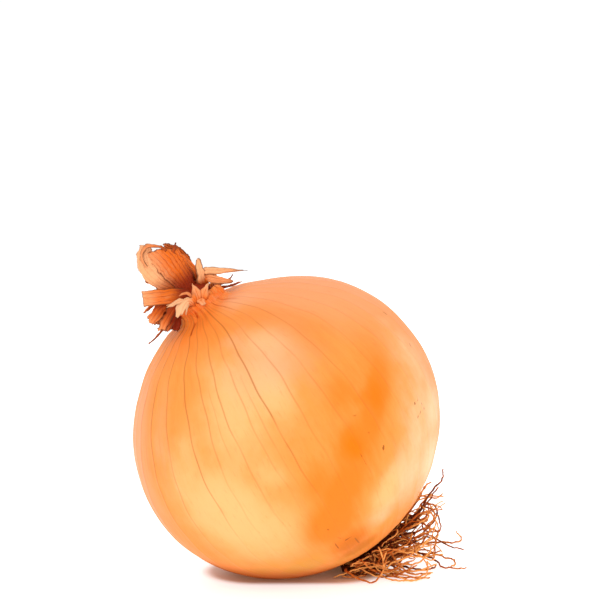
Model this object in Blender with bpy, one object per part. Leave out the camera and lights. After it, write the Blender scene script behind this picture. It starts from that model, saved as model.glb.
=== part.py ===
"""A yellow onion lying on its side: the bulb, the torn skin and dry leaf ends at its neck, and its dry roots.

Units are metres, with +Z up. The floor is at z = 0, and the origin is the middle of the small flat spot on
which the bulb rests. The neck leans towards -X, so the roots face down and towards +X.

The onion has a frame of its own, in which it is easy to describe: its origin is the middle of the bulb and
its +Z axis runs out through the neck. Angles round that axis are in degrees, from the onion's own +X.
"""

import math
import random
from typing import NamedTuple

import bmesh
import bpy
from mathutils import Matrix, Vector

MM = 0.001

# Driving dimensions
BULB_RADIUS = 43.0 * MM  # at its widest, so the onion is 86 mm across
LEAN = math.radians(30.0)  # how far the neck leans from upright
FLAT_RADIUS = 7.0 * MM  # the spot that the bulb rests on
NODE_GAP = 0.35 * MM  # between neighbouring pieces that touch on the real onion

# The bulb's outline, as its radius from the middle over its widest radius, by angle from the neck
OUTLINE = (
    (24.0, 0.944),
    (36.0, 0.956),
    (50.0, 0.968),
    (70.0, 0.986),
    (90.0, 0.996),
    (110.0, 0.990),
    (130.0, 0.968),
    (150.0, 0.948),
    (168.0, 0.938),
    (180.0, 0.935),
)
NECK_START = 24.0  # degrees from the neck's axis, where the shoulder turns up into the neck
SHOULDER_TOP = (7.3 * MM, 41.0 * MM)  # radius and height where the collar of torn skin begins
COLLAR_LEDGE = 0.15 * MM  # height of the ledge that the collar stands over
NECK_RADIUS = 5.8 * MM  # inside the collar
NECK_END_RADIUS = 5.4 * MM
NECK_TOP = 44.6 * MM
NECK_BEND = 4.6 * MM  # the neck's top stands this far out towards the onion's own -X
NECK_DISH = 0.6 * MM  # the neck's end is slightly hollow
SHOULDER_PULL = 4.6 * MM  # how long the curve keeps the shoulder's and the neck's directions
SHOULDER_RINGS = 7
BODY_RINGS = 18
LOBES = ((2, 0.005, 35.0), (3, 0.003, 100.0))  # a slightly uneven bulb: count, share of radius, angle
LOPSIDED = 0.012  # how much fuller the bulb is above on one side and below on the other
SHOULDER_TILT = 0.026  # how much higher the shoulder stands on that side

# Veins run from root to neck. Those on the side that is seen were placed one by one.
SEEN_VEINS = (-64.0, -76.0, -86.0, -97.5, -108.0, -116.0, -125.0, -135.0, -149.0, -161.0)
HIDDEN_VEINS = 24
VEIN_SEED = 5
VEIN_HEIGHT = 0.22 * MM
NECK_PLEAT = 0.30 * MM  # the veins gather into deeper pleats at the neck
PLEAT_START = 35.0 * MM  # height from which they deepen

# The root plate sits in a shallow hollow at the bulb's foot
PLATE_RADIUS = 8.6 * MM
PLATE_HOLLOW = 1.1 * MM
PLATE_THICK = 2.0 * MM
PLATE_SIDES = 20

# Dry roots, some placed one by one and the others by rule
ROOT_COUNT = 44
ROOT_RADIUS = 0.46 * MM
ROOT_TIP_RADIUS = 0.30 * MM
ROOT_LENGTHS = (17.0 * MM, 33.0 * MM)
ROOT_STEP = 2.6 * MM
ROOT_SIDES = 3
ROOT_SEED = 7
ROOT_CLEAR = 1.2 * MM  # from a root's middle line to the bulb
ROOT_FREE_SPOT = 16.0 * MM  # no root comes nearer to the middle of the flat spot
GOLDEN_ANGLE = math.radians(137.508)

# Middle lines of the placed roots, in millimetres from the origin on the floor
PLACED_ROOTS = (
    # up beside the bulb, ending in a hook
    ((24, -4, 8), (29.6, -9, 10.5), (34.6, -10.5, 16), (39, -10.5, 22.5), (42, -10, 25), (42.2, -9.6, 28)),
    ((25, -2, 8), (31.4, -6, 10), (36, -7.5, 14.5), (39.4, -8, 19.6), (41.4, -8, 22.4)),
    # the tangle to the right
    ((25, 0, 9), (30.5, -2, 8), (36, -2, 11.5), (41, -2, 14.6), (44.4, -2, 14.6)),
    ((26, 1, 9), (33.7, 0, 6.5), (39.8, 0, 9), (44.4, 0, 11.6), (44, 0.5, 15.6), (40.8, 1, 15.8)),
    ((23, -5, 7), (27.6, -11.6, 5.6), (32.6, -13.6, 6.6), (36.4, -12.6, 10.4), (38, -12, 14)),
    ((25, -3, 8), (31, -8, 8), (36.6, -9, 10), (39.6, -9.4, 14), (38.4, -10.4, 18.4)),
    # the one to the far right, with its branch
    ((25, 2, 8), (36, 2, 4.4), (42, 2, 6.4), (48.4, 2, 3.6), (53.8, 2, 1.6)),
    ((25, 3, 7), (36, 3, 5), (46, 2.5, 4.2), (52.8, 2, 4.4), (51.6, 2, 7.4)),
    # a loop on the floor and the end that leaves it
    ((25, 4, 6), (36, 1, 3), (41.4, -2.5, 1.6), (41.8, -9, 0.6), (43, -13.4, 0.6), (48, -13.8, 0.6)),
    ((24, 3, 5), (36, 2, 3), (43, 0, 1.6), (47.4, -2, 0.7), (47, -8, 0.6), (43.6, -12.6, 0.7)),
    # those that lie on the floor
    ((22, -4, 6), (24, -10, 2.4), (25.4, -16.6, 0.6), (29, -20.4, 0.6), (34, -20.8, 0.6)),
    ((24, -3, 5), (27, -10, 1.8), (31, -15.6, 0.6), (36.4, -17, 0.6)),
    ((20, -5, 5), (20.6, -10, 1.6), (17, -13.6, 0.6), (11, -13.8, 0.6)),
    ((24, -2, 5), (29, -6, 1.8), (33, -11, 0.6), (38, -12, 0.6), (40.4, -9.6, 1)),
)

# Colours, as the skin, the dry leaves and the roots show them
SKIN_COLOUR = (0.93, 0.45, 0.13)
LEAF_COLOUR = (0.72, 0.26, 0.06)
TORN_COLOUR = (0.86, 0.55, 0.30)
ROOT_COLOUR = (0.42, 0.17, 0.06)


class Blade(NamedTuple):
    """One dry leaf end or shred, in the onion's own frame and in millimetres."""

    path: tuple  # its middle line, from the foot to the tip
    widths: tuple  # at the foot, half way and at the tip
    faces: tuple  # the way its outer side faces
    cup: float = 0.8  # how far its edges turn inwards, in radians; negative turns them outwards
    torn: float = 0.08  # depth of the torn end, as a share of the length
    pleat: float = 0.0  # height of its lengthways folds


# Dry leaf ends, round the neck's end. The first ones are those that are seen.
BUNDLE_RADIUS = 5.2 * MM
BUNDLE_HEIGHT = 4.2 * MM
LEAF_THICK = 0.65 * MM
LEAVES = (
    # the upright pleated one
    Blade(
        ((-4.8, -1.8, 45.9), (-5.6, -2.4, 51), (-6.2, -1.6, 56), (-7.2, 0.2, 60.2)),
        (7.0, 9.2, 6.6), (0.1, -1, 0), 0.85, 0.10, 0.35,
    ),
    # the one that curls over to the left, beside it
    Blade(
        ((-7, -2.6, 46.4), (-11.4, -4.2, 50.4), (-13.2, -4, 55.6), (-11.6, -2.4, 60.4), (-8.6, -1, 61.8)),
        (3.2, 5.6, 3.6), (-0.45, -0.9, 0.1), 0.9, 0.04, 0.0,
    ),
    # the wide one with a straight cut end
    Blade(
        ((-6, -3.4, 46.2), (-11.6, -5.2, 48.4), (-17.4, -4.8, 51)),
        (3.0, 4.4, 4.3), (0.1, -0.85, 0.35), 0.45, 0.02, 0.2,
    ),
    # the dark ones that point down and left
    Blade(
        ((-6.5, -2.6, 46.8), (-13.4, -4.6, 46.8), (-19.2, -4.2, 44.4)),
        (2.6, 3.4, 2.4), (-0.1, -0.8, 0.6), 0.8, 0.12, 0.0,
    ),
    Blade(
        ((-6.2, -3.4, 46.2), (-12.2, -5.8, 45.6), (-18.2, -5, 41.2)),
        (2.4, 2.9, 2.0), (-0.1, -0.9, 0.4), 0.8, 0.12, 0.0,
    ),
    Blade(
        ((-6.8, -1.4, 46.4), (-13.2, -2.4, 45.2), (-16.9, -2.8, 39.4)),
        (2.4, 3.0, 1.8), (-0.5, -0.7, 0.5), 0.8, 0.15, 0.0,
    ),
    Blade(
        ((-6.8, 0.6, 46.6), (-13.6, 0.8, 46.8), (-19.8, 0.6, 43.2)),
        (3.0, 4.0, 2.6), (-0.3, -0.2, 0.9), 0.9, 0.12, 0.0,
    ),
    # a thread that hangs from them
    Blade(
        ((-11, -3, 45.4), (-16.6, -3.4, 42), (-20.6, -3, 39.6)),
        (1.2, 0.9, 0.8), (-0.3, -0.9, 0.3), 0.4, 0.0, 0.0,
    ),
    # those behind
    Blade(
        ((-3.4, 2.8, 45.9), (-3, 4.2, 51), (-4, 5, 57), (-6.4, 4.4, 60.6)),
        (6.0, 8.0, 5.5), (0.1, 1, 0.1), 0.9, 0.12, 0.3,
    ),
    Blade(
        ((-0.8, 1, 45.9), (0.2, 1.6, 50), (-0.8, 1.8, 55.4), (-2.4, 1.2, 58.6)),
        (4.0, 5.2, 2.2), (1, -0.1, 0.3), 0.9, 0.12, 0.0,
    ),
    Blade(
        ((-7.4, 2.6, 46.4), (-10.8, 4, 50.4), (-13.6, 4.6, 55.8)),
        (4.0, 5.4, 3.0), (-0.7, 0.6, 0.3), 0.9, 0.12, 0.0,
    ),
    Blade(
        ((-7, 2.8, 46.6), (-12.6, 5.6, 47.6), (-18, 7, 46)),
        (3.0, 3.6, 1.6), (-0.4, 0.4, 0.9), 0.8, 0.15, 0.0,
    ),
    Blade(
        ((-4.6, 3.4, 46.4), (-5.4, 9, 48.2), (-6.4, 13.4, 45.4)),
        (3.0, 3.8, 1.4), (0.1, 0.4, 0.9), 0.8, 0.15, 0.0,
    ),
    # the one that lies along the shoulder to the right
    Blade(
        ((-1.4, 1.4, 47), (2.8, 2, 47), (5.6, 2.4, 44.6), (8.4, 2.8, 42.8)),
        (3.0, 2.6, 0.8), (0.5, -0.2, 0.85), 0.6, 0.05, 0.0,
    ),
    Blade(
        ((-2, 2.8, 46.4), (1.2, 6.4, 47), (3.6, 10.2, 44.4)),
        (2.6, 2.8, 0.8), (0.4, 0.4, 0.85), 0.7, 0.1, 0.0,
    ),
)

# Shreds of the torn outer skin, on a collar that clings round the neck
COLLAR = ((7.35 * MM, 41.5 * MM), (7.25 * MM, 42.7 * MM), (7.05 * MM, 43.9 * MM))  # radius, height
COLLAR_SIDES = 24
COLLAR_THICK = 0.62 * MM
SHRED_THICK = 0.6 * MM
SHREDS = (
    # the broad ragged one and the narrow one beside it
    Blade(
        ((-6.6, -6.2, 43.2), (-8.6, -8.4, 44.6), (-12, -9.4, 41.9)),
        (2.0, 3.2, 3.0), (-0.1, -0.9, 0.4), 0.4, 0.2, 0.0,
    ),
    Blade(
        ((-7.4, -5.8, 43.2), (-9.4, -7.6, 46.2), (-12.9, -8.2, 46.3)),
        (1.6, 1.8, 1.2), (0.1, -0.9, 0.4), 0.3, 0.1, 0.0,
    ),
    # the small star-shaped ones
    Blade(
        ((-4.2, -6.6, 43.2), (-4.6, -7.4, 45.8), (-5, -6.8, 48.4)),
        (2.4, 1.8, 0.6), (0, -1, 0.1), 0.3, 0.0, 0.0,
    ),
    Blade(
        ((-3.2, -6.5, 43.2), (-1.6, -7.8, 45), (0.4, -7.6, 46.6)),
        (2.2, 1.6, 0.6), (0, -1, 0.1), 0.3, 0.0, 0.0,
    ),
    Blade(
        ((-4, -6.5, 43.4), (-3.6, -8.6, 43.6), (-3.2, -9.3, 41.6)),
        (1.8, 2.0, 1.2), (0, -0.8, 0.6), 0.2, 0.1, 0.0,
    ),
    # the pale upright one and the long thin one to the right
    Blade(
        ((-0.6, -5.6, 43.2), (0.4, -5.4, 47.6), (-0.2, -3.8, 52.4)),
        (2.0, 1.6, 0.6), (0.2, -1, 0), 0.5, 0.0, 0.0,
    ),
    Blade(
        ((1.6, -3.4, 43.2), (2.6, -3, 46.4), (6.2, -1.6, 46.9), (11.6, 0.4, 43.1)),
        (1.8, 2.1, 0.6), (0.4, -0.8, 0.5), 0.5, 0.0, 0.0,
    ),
    # those behind
    Blade(
        ((-0.6, 5.4, 43.2), (0.6, 7.6, 45.2), (2.6, 10.4, 43.4)),
        (2.4, 2.8, 1.4), (0.4, 0.6, 0.7), 0.4, 0.15, 0.0,
    ),
    Blade(
        ((-7.6, 5.4, 43.2), (-9.8, 8.2, 44.6), (-12.4, 10.8, 42)),
        (2.4, 3.0, 1.6), (-0.4, 0.6, 0.7), 0.4, 0.15, 0.0,
    ),
    Blade(
        ((-10.6, 2, 43.2), (-13, 2.6, 44.2), (-15.6, 3.2, 41.4)),
        (2.0, 2.4, 1.4), (-0.6, 0.2, 0.7), 0.4, 0.15, 0.0,
    ),
)
BLADE_STEP = 2.4  # mm of its length for each row of faces
BLADE_COLUMN = 1.7  # mm of its width for each column of faces


def clear_scene():
    for old in list(bpy.data.objects):
        bpy.data.objects.remove(old)


def smooth(t):
    """0 to 1, level at both ends."""
    t = min(1.0, max(0.0, t))
    return t * t * (3.0 - 2.0 * t)


def outline_radius(polar):
    """The bulb's radius from its middle, at this angle from the neck in degrees."""
    polar = min(max(polar, OUTLINE[0][0]), OUTLINE[-1][0])
    at = next(i for i in range(1, len(OUTLINE)) if polar <= OUTLINE[i][0])
    points = [OUTLINE[max(0, min(len(OUTLINE) - 1, at + k))] for k in (-2, -1, 0, 1)]
    (_, share_0), (low, share_1), (high, share_2), (_, share_3) = points
    t = (polar - low) / (high - low)
    bend = 2 * share_0 - 5 * share_1 + 4 * share_2 - share_3
    twist = 3 * (share_1 - share_2) + share_3 - share_0
    share = share_1 + 0.5 * t * (share_2 - share_0 + t * (bend + t * twist))
    return BULB_RADIUS * share


def profile():
    """Points (radius, height) from the rim of the root hollow to the neck's end."""
    foot_polar = 180.0 - math.degrees(math.asin((PLATE_RADIUS + NODE_GAP) / outline_radius(168.0)))
    points = []
    for i in range(BODY_RINGS):
        polar = foot_polar + (NECK_START - foot_polar) * i / (BODY_RINGS - 1)
        radius = outline_radius(polar)
        points.append((radius * math.sin(math.radians(polar)), radius * math.cos(math.radians(polar))))
    start, before = Vector(points[-1]), Vector(points[-2])
    leave = (start - before).normalized() * SHOULDER_PULL
    top = Vector(SHOULDER_TOP)
    arrive = Vector((-0.2, 1.0)).normalized() * SHOULDER_PULL * 0.6
    for i in range(1, SHOULDER_RINGS + 1):
        t = i / SHOULDER_RINGS
        controls = (start, start + leave, top - arrive, top)
        weights = ((1 - t) ** 3, 3 * t * (1 - t) ** 2, 3 * t * t * (1 - t), t**3)
        point = sum((c * w for c, w in zip(controls, weights)), Vector((0.0, 0.0)))
        points.append(tuple(point))
    points.append((NECK_RADIUS, SHOULDER_TOP[1] + COLLAR_LEDGE))
    points.append((NECK_END_RADIUS, NECK_TOP))
    return points


def neck_shift(height):
    """How far the neck has bent towards the onion's -X at this height."""
    return -NECK_BEND * smooth((height - 0.60 * NECK_TOP) / (0.42 * NECK_TOP))


def uneven(polar, turn):
    """The share by which the bulb is larger in this direction; both angles in radians."""
    lobes = sum(share * math.cos(n * turn - math.radians(at)) for n, share, at in LOBES)
    tilt = SHOULDER_TILT * math.cos(turn) * (1.0 - smooth(polar / math.radians(52.0)))
    return tilt + LOPSIDED * math.cos(turn) * math.sin(2 * polar) + lobes * math.sin(polar) ** 2


def vein_angles():
    """Every vein's angle round the axis: those seen, then the rest, unevenly spaced."""
    rng = random.Random(VEIN_SEED)
    first, last = SEEN_VEINS[0], SEEN_VEINS[-1] + 360.0
    gap = (last - first) / (HIDDEN_VEINS + 1)
    hidden = [first + gap * (i + 1 + rng.uniform(-0.22, 0.22)) for i in range(HIDDEN_VEINS)]
    return sorted(a % 360.0 for a in (*SEEN_VEINS, *hidden))


def columns():
    """(angle, is a vein) for each column of the bulb's mesh: the veins, and one between each two."""
    veins = vein_angles()
    found = []
    for this, after in zip(veins, veins[1:] + [veins[0] + 360.0]):
        found += [(this, True), ((this + after) / 2, False)]
    return found


def bulb_point(radius, height, angle, is_vein):
    """A point of the bulb's skin, on a vein or between two."""
    turn = math.radians(angle)
    deep = smooth((height - PLEAT_START) / (SHOULDER_TOP[1] - PLEAT_START))
    larger = 1.0 + uneven(math.atan2(radius, height), turn) * (1 - deep)
    relief = VEIN_HEIGHT + (NECK_PLEAT - VEIN_HEIGHT) * deep
    out = radius * larger + (relief * smooth(radius / (4 * NECK_RADIUS) + deep) if is_vein else 0.0)
    up = height * larger
    return Vector((out * math.cos(turn) + neck_shift(up), out * math.sin(turn), up))


def resting_place():
    """The onion's frame in the world: leaning, with the middle of the flat spot at the origin."""
    lean = Matrix.Rotation(-LEAN, 4, "Y")
    under = min(
        (lean @ bulb_point(radius, height, 180.0, False) for radius, height in profile()),
        key=lambda p: p.z,
    )
    reach = -under.z
    flat_depth = reach - math.sqrt(reach**2 - FLAT_RADIUS**2)
    return Matrix.Translation((-under.x, 0.0, reach - flat_depth)) @ lean


def finish(name, mesh, colour, roughness, place):
    """A named object with its material, in its place."""
    obj = bpy.data.objects.new(name, mesh)
    bpy.context.scene.collection.objects.link(obj)
    material = bpy.data.materials.new(name)
    material.use_nodes = True
    shader = material.node_tree.nodes["Principled BSDF"]
    shader.inputs["Base Color"].default_value = (*colour, 1.0)
    shader.inputs["Roughness"].default_value = roughness
    shader.inputs["Metallic"].default_value = 0.0
    obj.data.materials.append(material)
    obj.matrix_world = place
    return obj


def mesh_of(name, points, faces):
    """A closed mesh whose faces all point outwards."""
    mesh = bpy.data.meshes.new(name)
    mesh.from_pydata([tuple(p) for p in points], [], faces)
    bm = bmesh.new()
    bm.from_mesh(mesh)
    bmesh.ops.recalc_face_normals(bm, faces=bm.faces[:])
    bm.to_mesh(mesh)
    bm.free()
    return mesh


def rings_mesh(name, rings):
    """A closed skin over rings of equal count, with a point at each end that is a single one."""
    points, faces, starts = [], [], []
    for ring in rings:
        starts.append((len(points), len(ring)))
        points += ring
    for (low, n_low), (high, n_high) in zip(starts, starts[1:]):
        for i in range(max(n_low, n_high)):
            j = (i + 1) % max(n_low, n_high)
            if n_low == 1:
                faces.append((low, high + j, high + i))
            elif n_high == 1:
                faces.append((low + i, low + j, high))
            else:
                faces.append((low + i, low + j, high + j, high + i))
    return mesh_of(name, points, faces)


def cut_flat(mesh, place):
    """Cuts the mesh off at the floor, and closes it there with one flat face."""
    inverse = place.inverted()
    floor_point = inverse @ Vector((0.0, 0.0, 0.0))
    floor_normal = (inverse.to_3x3() @ Vector((0.0, 0.0, 1.0))).normalized()
    bm = bmesh.new()
    bm.from_mesh(mesh)
    cut = bmesh.ops.bisect_plane(
        bm,
        geom=bm.verts[:] + bm.edges[:] + bm.faces[:],
        plane_co=floor_point,
        plane_no=floor_normal,
        clear_inner=True,
        dist=1e-7,
    )
    rim = [e for e in cut["geom_cut"] if isinstance(e, bmesh.types.BMEdge)]
    bmesh.ops.contextual_create(bm, geom=rim)
    bmesh.ops.recalc_face_normals(bm, faces=bm.faces[:])
    bm.to_mesh(mesh)
    bm.free()


def make_bulb(place):
    """The bulb in its skin, with its veins, its pleated neck and the hollow for the root plate."""
    cols = columns()
    rings = [[bulb_point(radius, height, angle, vein) for angle, vein in cols] for radius, height in profile()]
    hollow_floor = profile()[0][1] + PLATE_HOLLOW
    floor_ring = [Vector((p.x, p.y, hollow_floor)) for p in rings[0]]
    foot = [Vector((0.0, 0.0, hollow_floor))]
    top_centre = [Vector((neck_shift(NECK_TOP), 0.0, NECK_TOP - NECK_DISH))]
    mesh = rings_mesh("bulb", [foot, floor_ring, *rings, top_centre])
    cut_flat(mesh, place)
    mesh.shade_smooth()
    return finish("bulb", mesh, SKIN_COLOUR, 0.38, place)


def along_path(points, t):
    """The point at share t of a smooth line through these points."""
    place = min(max(t, 0.0), 1.0) * (len(points) - 1)
    at = min(int(place), len(points) - 2)
    t = place - at
    p0, p1, p2, p3 = (Vector(points[max(0, min(len(points) - 1, at + k))]) for k in (-1, 0, 1, 2))
    return p1 + 0.5 * t * (p2 - p0 + t * (2 * p0 - 5 * p1 + 4 * p2 - p3 + t * (3 * (p1 - p2) + p3 - p0)))


def blade_point(blade, share, side):
    """(point, outward direction) on a blade's middle sheet; side runs from -1 to 1 across it."""
    small = 0.01
    along = (along_path(blade.path, share + small) - along_path(blade.path, share - small)).normalized()
    out = Vector(blade.faces)
    out = (out - along * out.dot(along)).normalized()
    across = out.cross(along)
    foot, middle, tip = blade.widths
    half = foot + (middle - foot) * smooth(2 * share) + (tip - middle) * smooth(2 * share - 1)
    half *= 0.5
    turn = blade.cup * side
    point = along_path(blade.path, share)
    point += across * (half * math.sin(turn) / blade.cup)
    point -= out * (half * (1.0 - math.cos(turn)) / blade.cup)
    return point * MM, (out * math.cos(turn) + across * math.sin(turn)).normalized()


def blade_mesh(name, blade, thickness):
    """A thin curved sheet of even thickness, with folds along it and a torn end."""
    rng = random.Random(name)
    length = sum((Vector(b) - Vector(a)).length for a, b in zip(blade.path, blade.path[1:]))
    steps = max(3, round(length / BLADE_STEP))
    across = 2 * max(1, round(max(blade.widths) / BLADE_COLUMN / 2))
    ends = [1.0 - blade.torn * rng.random() for _ in range(across + 1)]
    outer, inner = [], []
    for i in range(steps + 1):
        for j in range(across + 1):
            share = ends[j] * i / steps
            middle, out = blade_point(blade, share, 2.0 * j / across - 1.0)
            middle += out * (blade.pleat * MM * (j % 2) * smooth(share * 3))
            outer.append(middle + out * (thickness / 2))
            inner.append(middle - out * (thickness / 2))
    row, count = across + 1, len(outer)
    faces = []
    for i in range(steps):
        for j in range(across):
            a, b, c, d = (i * row + j, i * row + j + 1, (i + 1) * row + j + 1, (i + 1) * row + j)
            faces += [(a, b, c), (a, c, d)]
            faces += [(count + a, count + c, count + b), (count + a, count + d, count + c)]
    rim = list(range(row)) + [i * row + row - 1 for i in range(1, steps + 1)]
    rim += [steps * row + j for j in range(row - 2, -1, -1)]
    rim += [i * row for i in range(steps - 1, 0, -1)]
    for this, after in zip(rim, rim[1:] + rim[:1]):
        faces += [(after, this, count + this), (after, count + this, count + after)]
    return mesh_of(name, outer + inner, faces)


def tube_mesh(name, path, radii, sides):
    """A closed tube along a path, with a ring at each point that keeps its turn from ring to ring."""
    rings = []
    across = Vector((0.0, 0.0, 1.0)).cross(path[1] - path[0])
    for i, (point, radius) in enumerate(zip(path, radii)):
        before, after = path[max(0, i - 1)], path[min(len(path) - 1, i + 1)]
        along = (after - before).normalized()
        across = (across - along * across.dot(along)).normalized()
        other = along.cross(across)
        turns = [2 * math.pi * k / sides for k in range(sides)]
        rings.append([point + (across * math.cos(t) + other * math.sin(t)) * radius for t in turns])
    points = [p for ring in rings for p in ring]
    faces = [tuple(reversed(range(sides)))]
    for i in range(len(rings) - 1):
        for k in range(sides):
            m = (k + 1) % sides
            faces.append((i * sides + k, i * sides + m, (i + 1) * sides + m, (i + 1) * sides + k))
    last = (len(rings) - 1) * sides
    faces.append(tuple(last + k for k in range(sides)))
    return mesh_of(name, points, faces)


def fuse(base, meshes):
    """One solid of the base object and these meshes, by one Boolean union on their collection."""
    group = bpy.data.collections.new(base.name + "_repeats")
    bpy.context.scene.collection.children.link(group)
    for i, mesh in enumerate(meshes):
        piece = bpy.data.objects.new(f"{base.name}_{i}", mesh)
        piece.matrix_world = base.matrix_world
        group.objects.link(piece)
    union = base.modifiers.new("join", "BOOLEAN")
    union.operation, union.operand_type, union.solver = "UNION", "COLLECTION", "MANIFOLD"
    union.collection = group
    bpy.context.view_layer.update()
    joined = bpy.data.meshes.new_from_object(base.evaluated_get(bpy.context.evaluated_depsgraph_get()))
    base.modifiers.clear()
    base.data = joined
    for piece in list(group.objects):
        bpy.data.objects.remove(piece)
    bpy.data.collections.remove(group)
    return base


def ring_at(radius, height, sides, shift=0.0):
    turns = [2 * math.pi * k / sides for k in range(sides)]
    return [Vector((radius * math.cos(t) + shift, radius * math.sin(t), height)) for t in turns]


def make_leaves(place):
    """The dry leaf ends: blades that spring from the bundle in the middle of the neck."""
    shift = neck_shift(NECK_TOP)
    foot = NECK_TOP + NODE_GAP
    bundle = [
        [Vector((shift, 0.0, foot))],
        ring_at(BUNDLE_RADIUS, foot, 16, shift),
        ring_at(BUNDLE_RADIUS * 0.94, foot + BUNDLE_HEIGHT * 0.35, 16, shift),
        ring_at(BUNDLE_RADIUS * 0.66, foot + BUNDLE_HEIGHT * 0.85, 16, shift),
        [Vector((shift, 0.0, foot + BUNDLE_HEIGHT))],
    ]
    base = finish("neck_leaves", rings_mesh("neck_leaves", bundle), LEAF_COLOUR, 0.6, place)
    return fuse(base, [blade_mesh(f"leaf_{i}", blade, LEAF_THICK) for i, blade in enumerate(LEAVES)])


def collar_ring(radius, height):
    return ring_at(radius, height, COLLAR_SIDES, neck_shift(height))


def on_collar(point):
    """The place on the collar's wall beside this point, in millimetres."""
    radius, height = COLLAR[1]
    middle = Vector((neck_shift(height), 0.0, height))
    beside = Vector(point) * MM - middle
    beside.z = 0.0
    return tuple((middle + beside.normalized() * (radius - COLLAR_THICK / 4)) / MM)


def make_torn_skin(place):
    """What is left of the outermost skin: a collar round the neck, with its torn shreds."""
    rings = [collar_ring(radius, height) for radius, height in COLLAR]
    rings += [collar_ring(radius - COLLAR_THICK, height) for radius, height in reversed(COLLAR)]
    points = [p for ring in rings for p in ring]
    faces = []
    for i in range(len(rings)):
        low, high = i * COLLAR_SIDES, ((i + 1) % len(rings)) * COLLAR_SIDES
        for k in range(COLLAR_SIDES):
            m = (k + 1) % COLLAR_SIDES
            faces.append((low + k, low + m, high + m, high + k))
    base = finish("torn_skin", mesh_of("torn_skin", points, faces), TORN_COLOUR, 0.6, place)
    rooted = [shred._replace(path=(on_collar(shred.path[0]), *shred.path[1:])) for shred in SHREDS]
    return fuse(base, [blade_mesh(f"shred_{i}", shred, SHRED_THICK) for i, shred in enumerate(rooted)])


def root_by_rule(number, place):
    """The way of one root, from inside the plate: out of the foot, round the bulb and along the floor."""
    rng = random.Random(ROOT_SEED * 1000 + number)
    share = math.sqrt((number + 0.5) / ROOT_COUNT)
    turn = number * GOLDEN_ANGLE + rng.uniform(-0.2, 0.2)
    radial = Vector((math.cos(turn), math.sin(turn), 0.0))
    plate_face = profile()[0][1] - PLATE_THICK + PLATE_HOLLOW
    start = radial * (share * (PLATE_RADIUS - 1.0 * MM)) + Vector((0.0, 0.0, plate_face + 1.0 * MM))
    spread = math.radians(18.0 + 66.0 * share + rng.uniform(-14.0, 14.0))
    way = radial * math.sin(spread) - Vector((0.0, 0.0, math.cos(spread)))
    point, way = place @ start, place.to_3x3() @ way
    steps = round(rng.uniform(*ROOT_LENGTHS) / ROOT_STEP)
    phases = [rng.uniform(0, 2 * math.pi) for _ in range(6)]
    rates = [rng.uniform(0.5, 1.2) for _ in range(3)]
    strong = rng.uniform(0.25, 0.6)
    rise = Vector((0.14, 0.0, rng.uniform(-0.02, 0.2)))
    path = [point]
    for i in range(steps):
        waver = Vector([math.sin(phases[k] + rates[k] * i) for k in range(3)])
        waver += Vector([0.5 * math.sin(phases[k + 3] + 2.3 * rates[k] * i) for k in range(3)])
        way = (way + waver * strong + rise).normalized()
        point, way = keep_clear(point + way * ROOT_STEP, way, place)
        path.append(point)
    return path


def root_as_placed(points, place):
    """A smooth way through these points, in equal steps."""
    foot = place.inverted() @ (Vector(points[0]) * MM)
    foot.z = profile()[0][1] + PLATE_HOLLOW - PLATE_THICK + 0.8 * MM
    points = (place @ foot / MM, *points[1:])
    length = sum((Vector(b) - Vector(a)).length for a, b in zip(points, points[1:]))
    steps = max(4, round(length * MM / ROOT_STEP))
    path = [along_path(points, i / steps) * MM for i in range(steps + 1)]
    return [path[0], *(keep_clear(point, Vector((0.0, 0.0, 1.0)), place)[0] for point in path[1:])]


def keep_clear(point, way, place):
    """Turns a root away from the spot where the bulb rests, from the bulb and from the floor."""
    inverse = place.inverted()
    flat = Vector((point.x, point.y, 0.0))
    if flat.length < ROOT_FREE_SPOT:
        push = flat.normalized()
        point = point + push * (ROOT_FREE_SPOT - flat.length) * 0.7
        way = (way + push * 0.5).normalized()
    local = inverse @ point
    polar = local.angle(Vector((0.0, 0.0, 1.0)))
    larger = 1.0 + uneven(polar, math.atan2(local.y, local.x))
    surface = outline_radius(math.degrees(polar)) * larger + ROOT_CLEAR
    if local.length < surface:
        out = place.to_3x3() @ local.normalized()
        point = point + out * (surface - local.length)
        way = (way - out * min(0.0, way.dot(out)) + out * 0.10).normalized()
    floor = ROOT_RADIUS + 0.05 * MM
    if point.z < floor:
        point = Vector((point.x, point.y, floor))
        way = Vector((way.x, way.y, abs(way.z) * 0.25)).normalized()
    return point, way


def make_roots(place):
    """The root plate, with the dry roots that spring from it."""
    rim = profile()[0][1]
    top = rim + PLATE_HOLLOW - NODE_GAP
    face = rim + PLATE_HOLLOW - PLATE_THICK
    plate = [
        [Vector((0.0, 0.0, face - 0.5 * MM))],
        ring_at(PLATE_RADIUS * 0.6, face - 0.3 * MM, PLATE_SIDES),
        ring_at(PLATE_RADIUS * 0.93, face + 0.4 * MM, PLATE_SIDES),
        ring_at(PLATE_RADIUS, top - 0.6 * MM, PLATE_SIDES),
        ring_at(PLATE_RADIUS, top, PLATE_SIDES),
        [Vector((0.0, 0.0, top))],
    ]
    base = finish("roots", rings_mesh("roots", plate), ROOT_COLOUR, 0.75, place)
    inverse = place.inverted()
    paths = [root_as_placed(points, place) for points in PLACED_ROOTS]
    paths += [root_by_rule(number, place) for number in range(ROOT_COUNT)]
    meshes = []
    for number, path in enumerate(paths):
        last = len(path) - 1
        radii = [ROOT_RADIUS + (ROOT_TIP_RADIUS - ROOT_RADIUS) * i / last for i in range(last + 1)]
        meshes.append(tube_mesh(f"root_{number}", [inverse @ p for p in path], radii, ROOT_SIDES))
    return fuse(base, meshes)


def main():
    clear_scene()
    place = resting_place()
    make_bulb(place)
    make_leaves(place)
    make_torn_skin(place)
    make_roots(place)


main()
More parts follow.
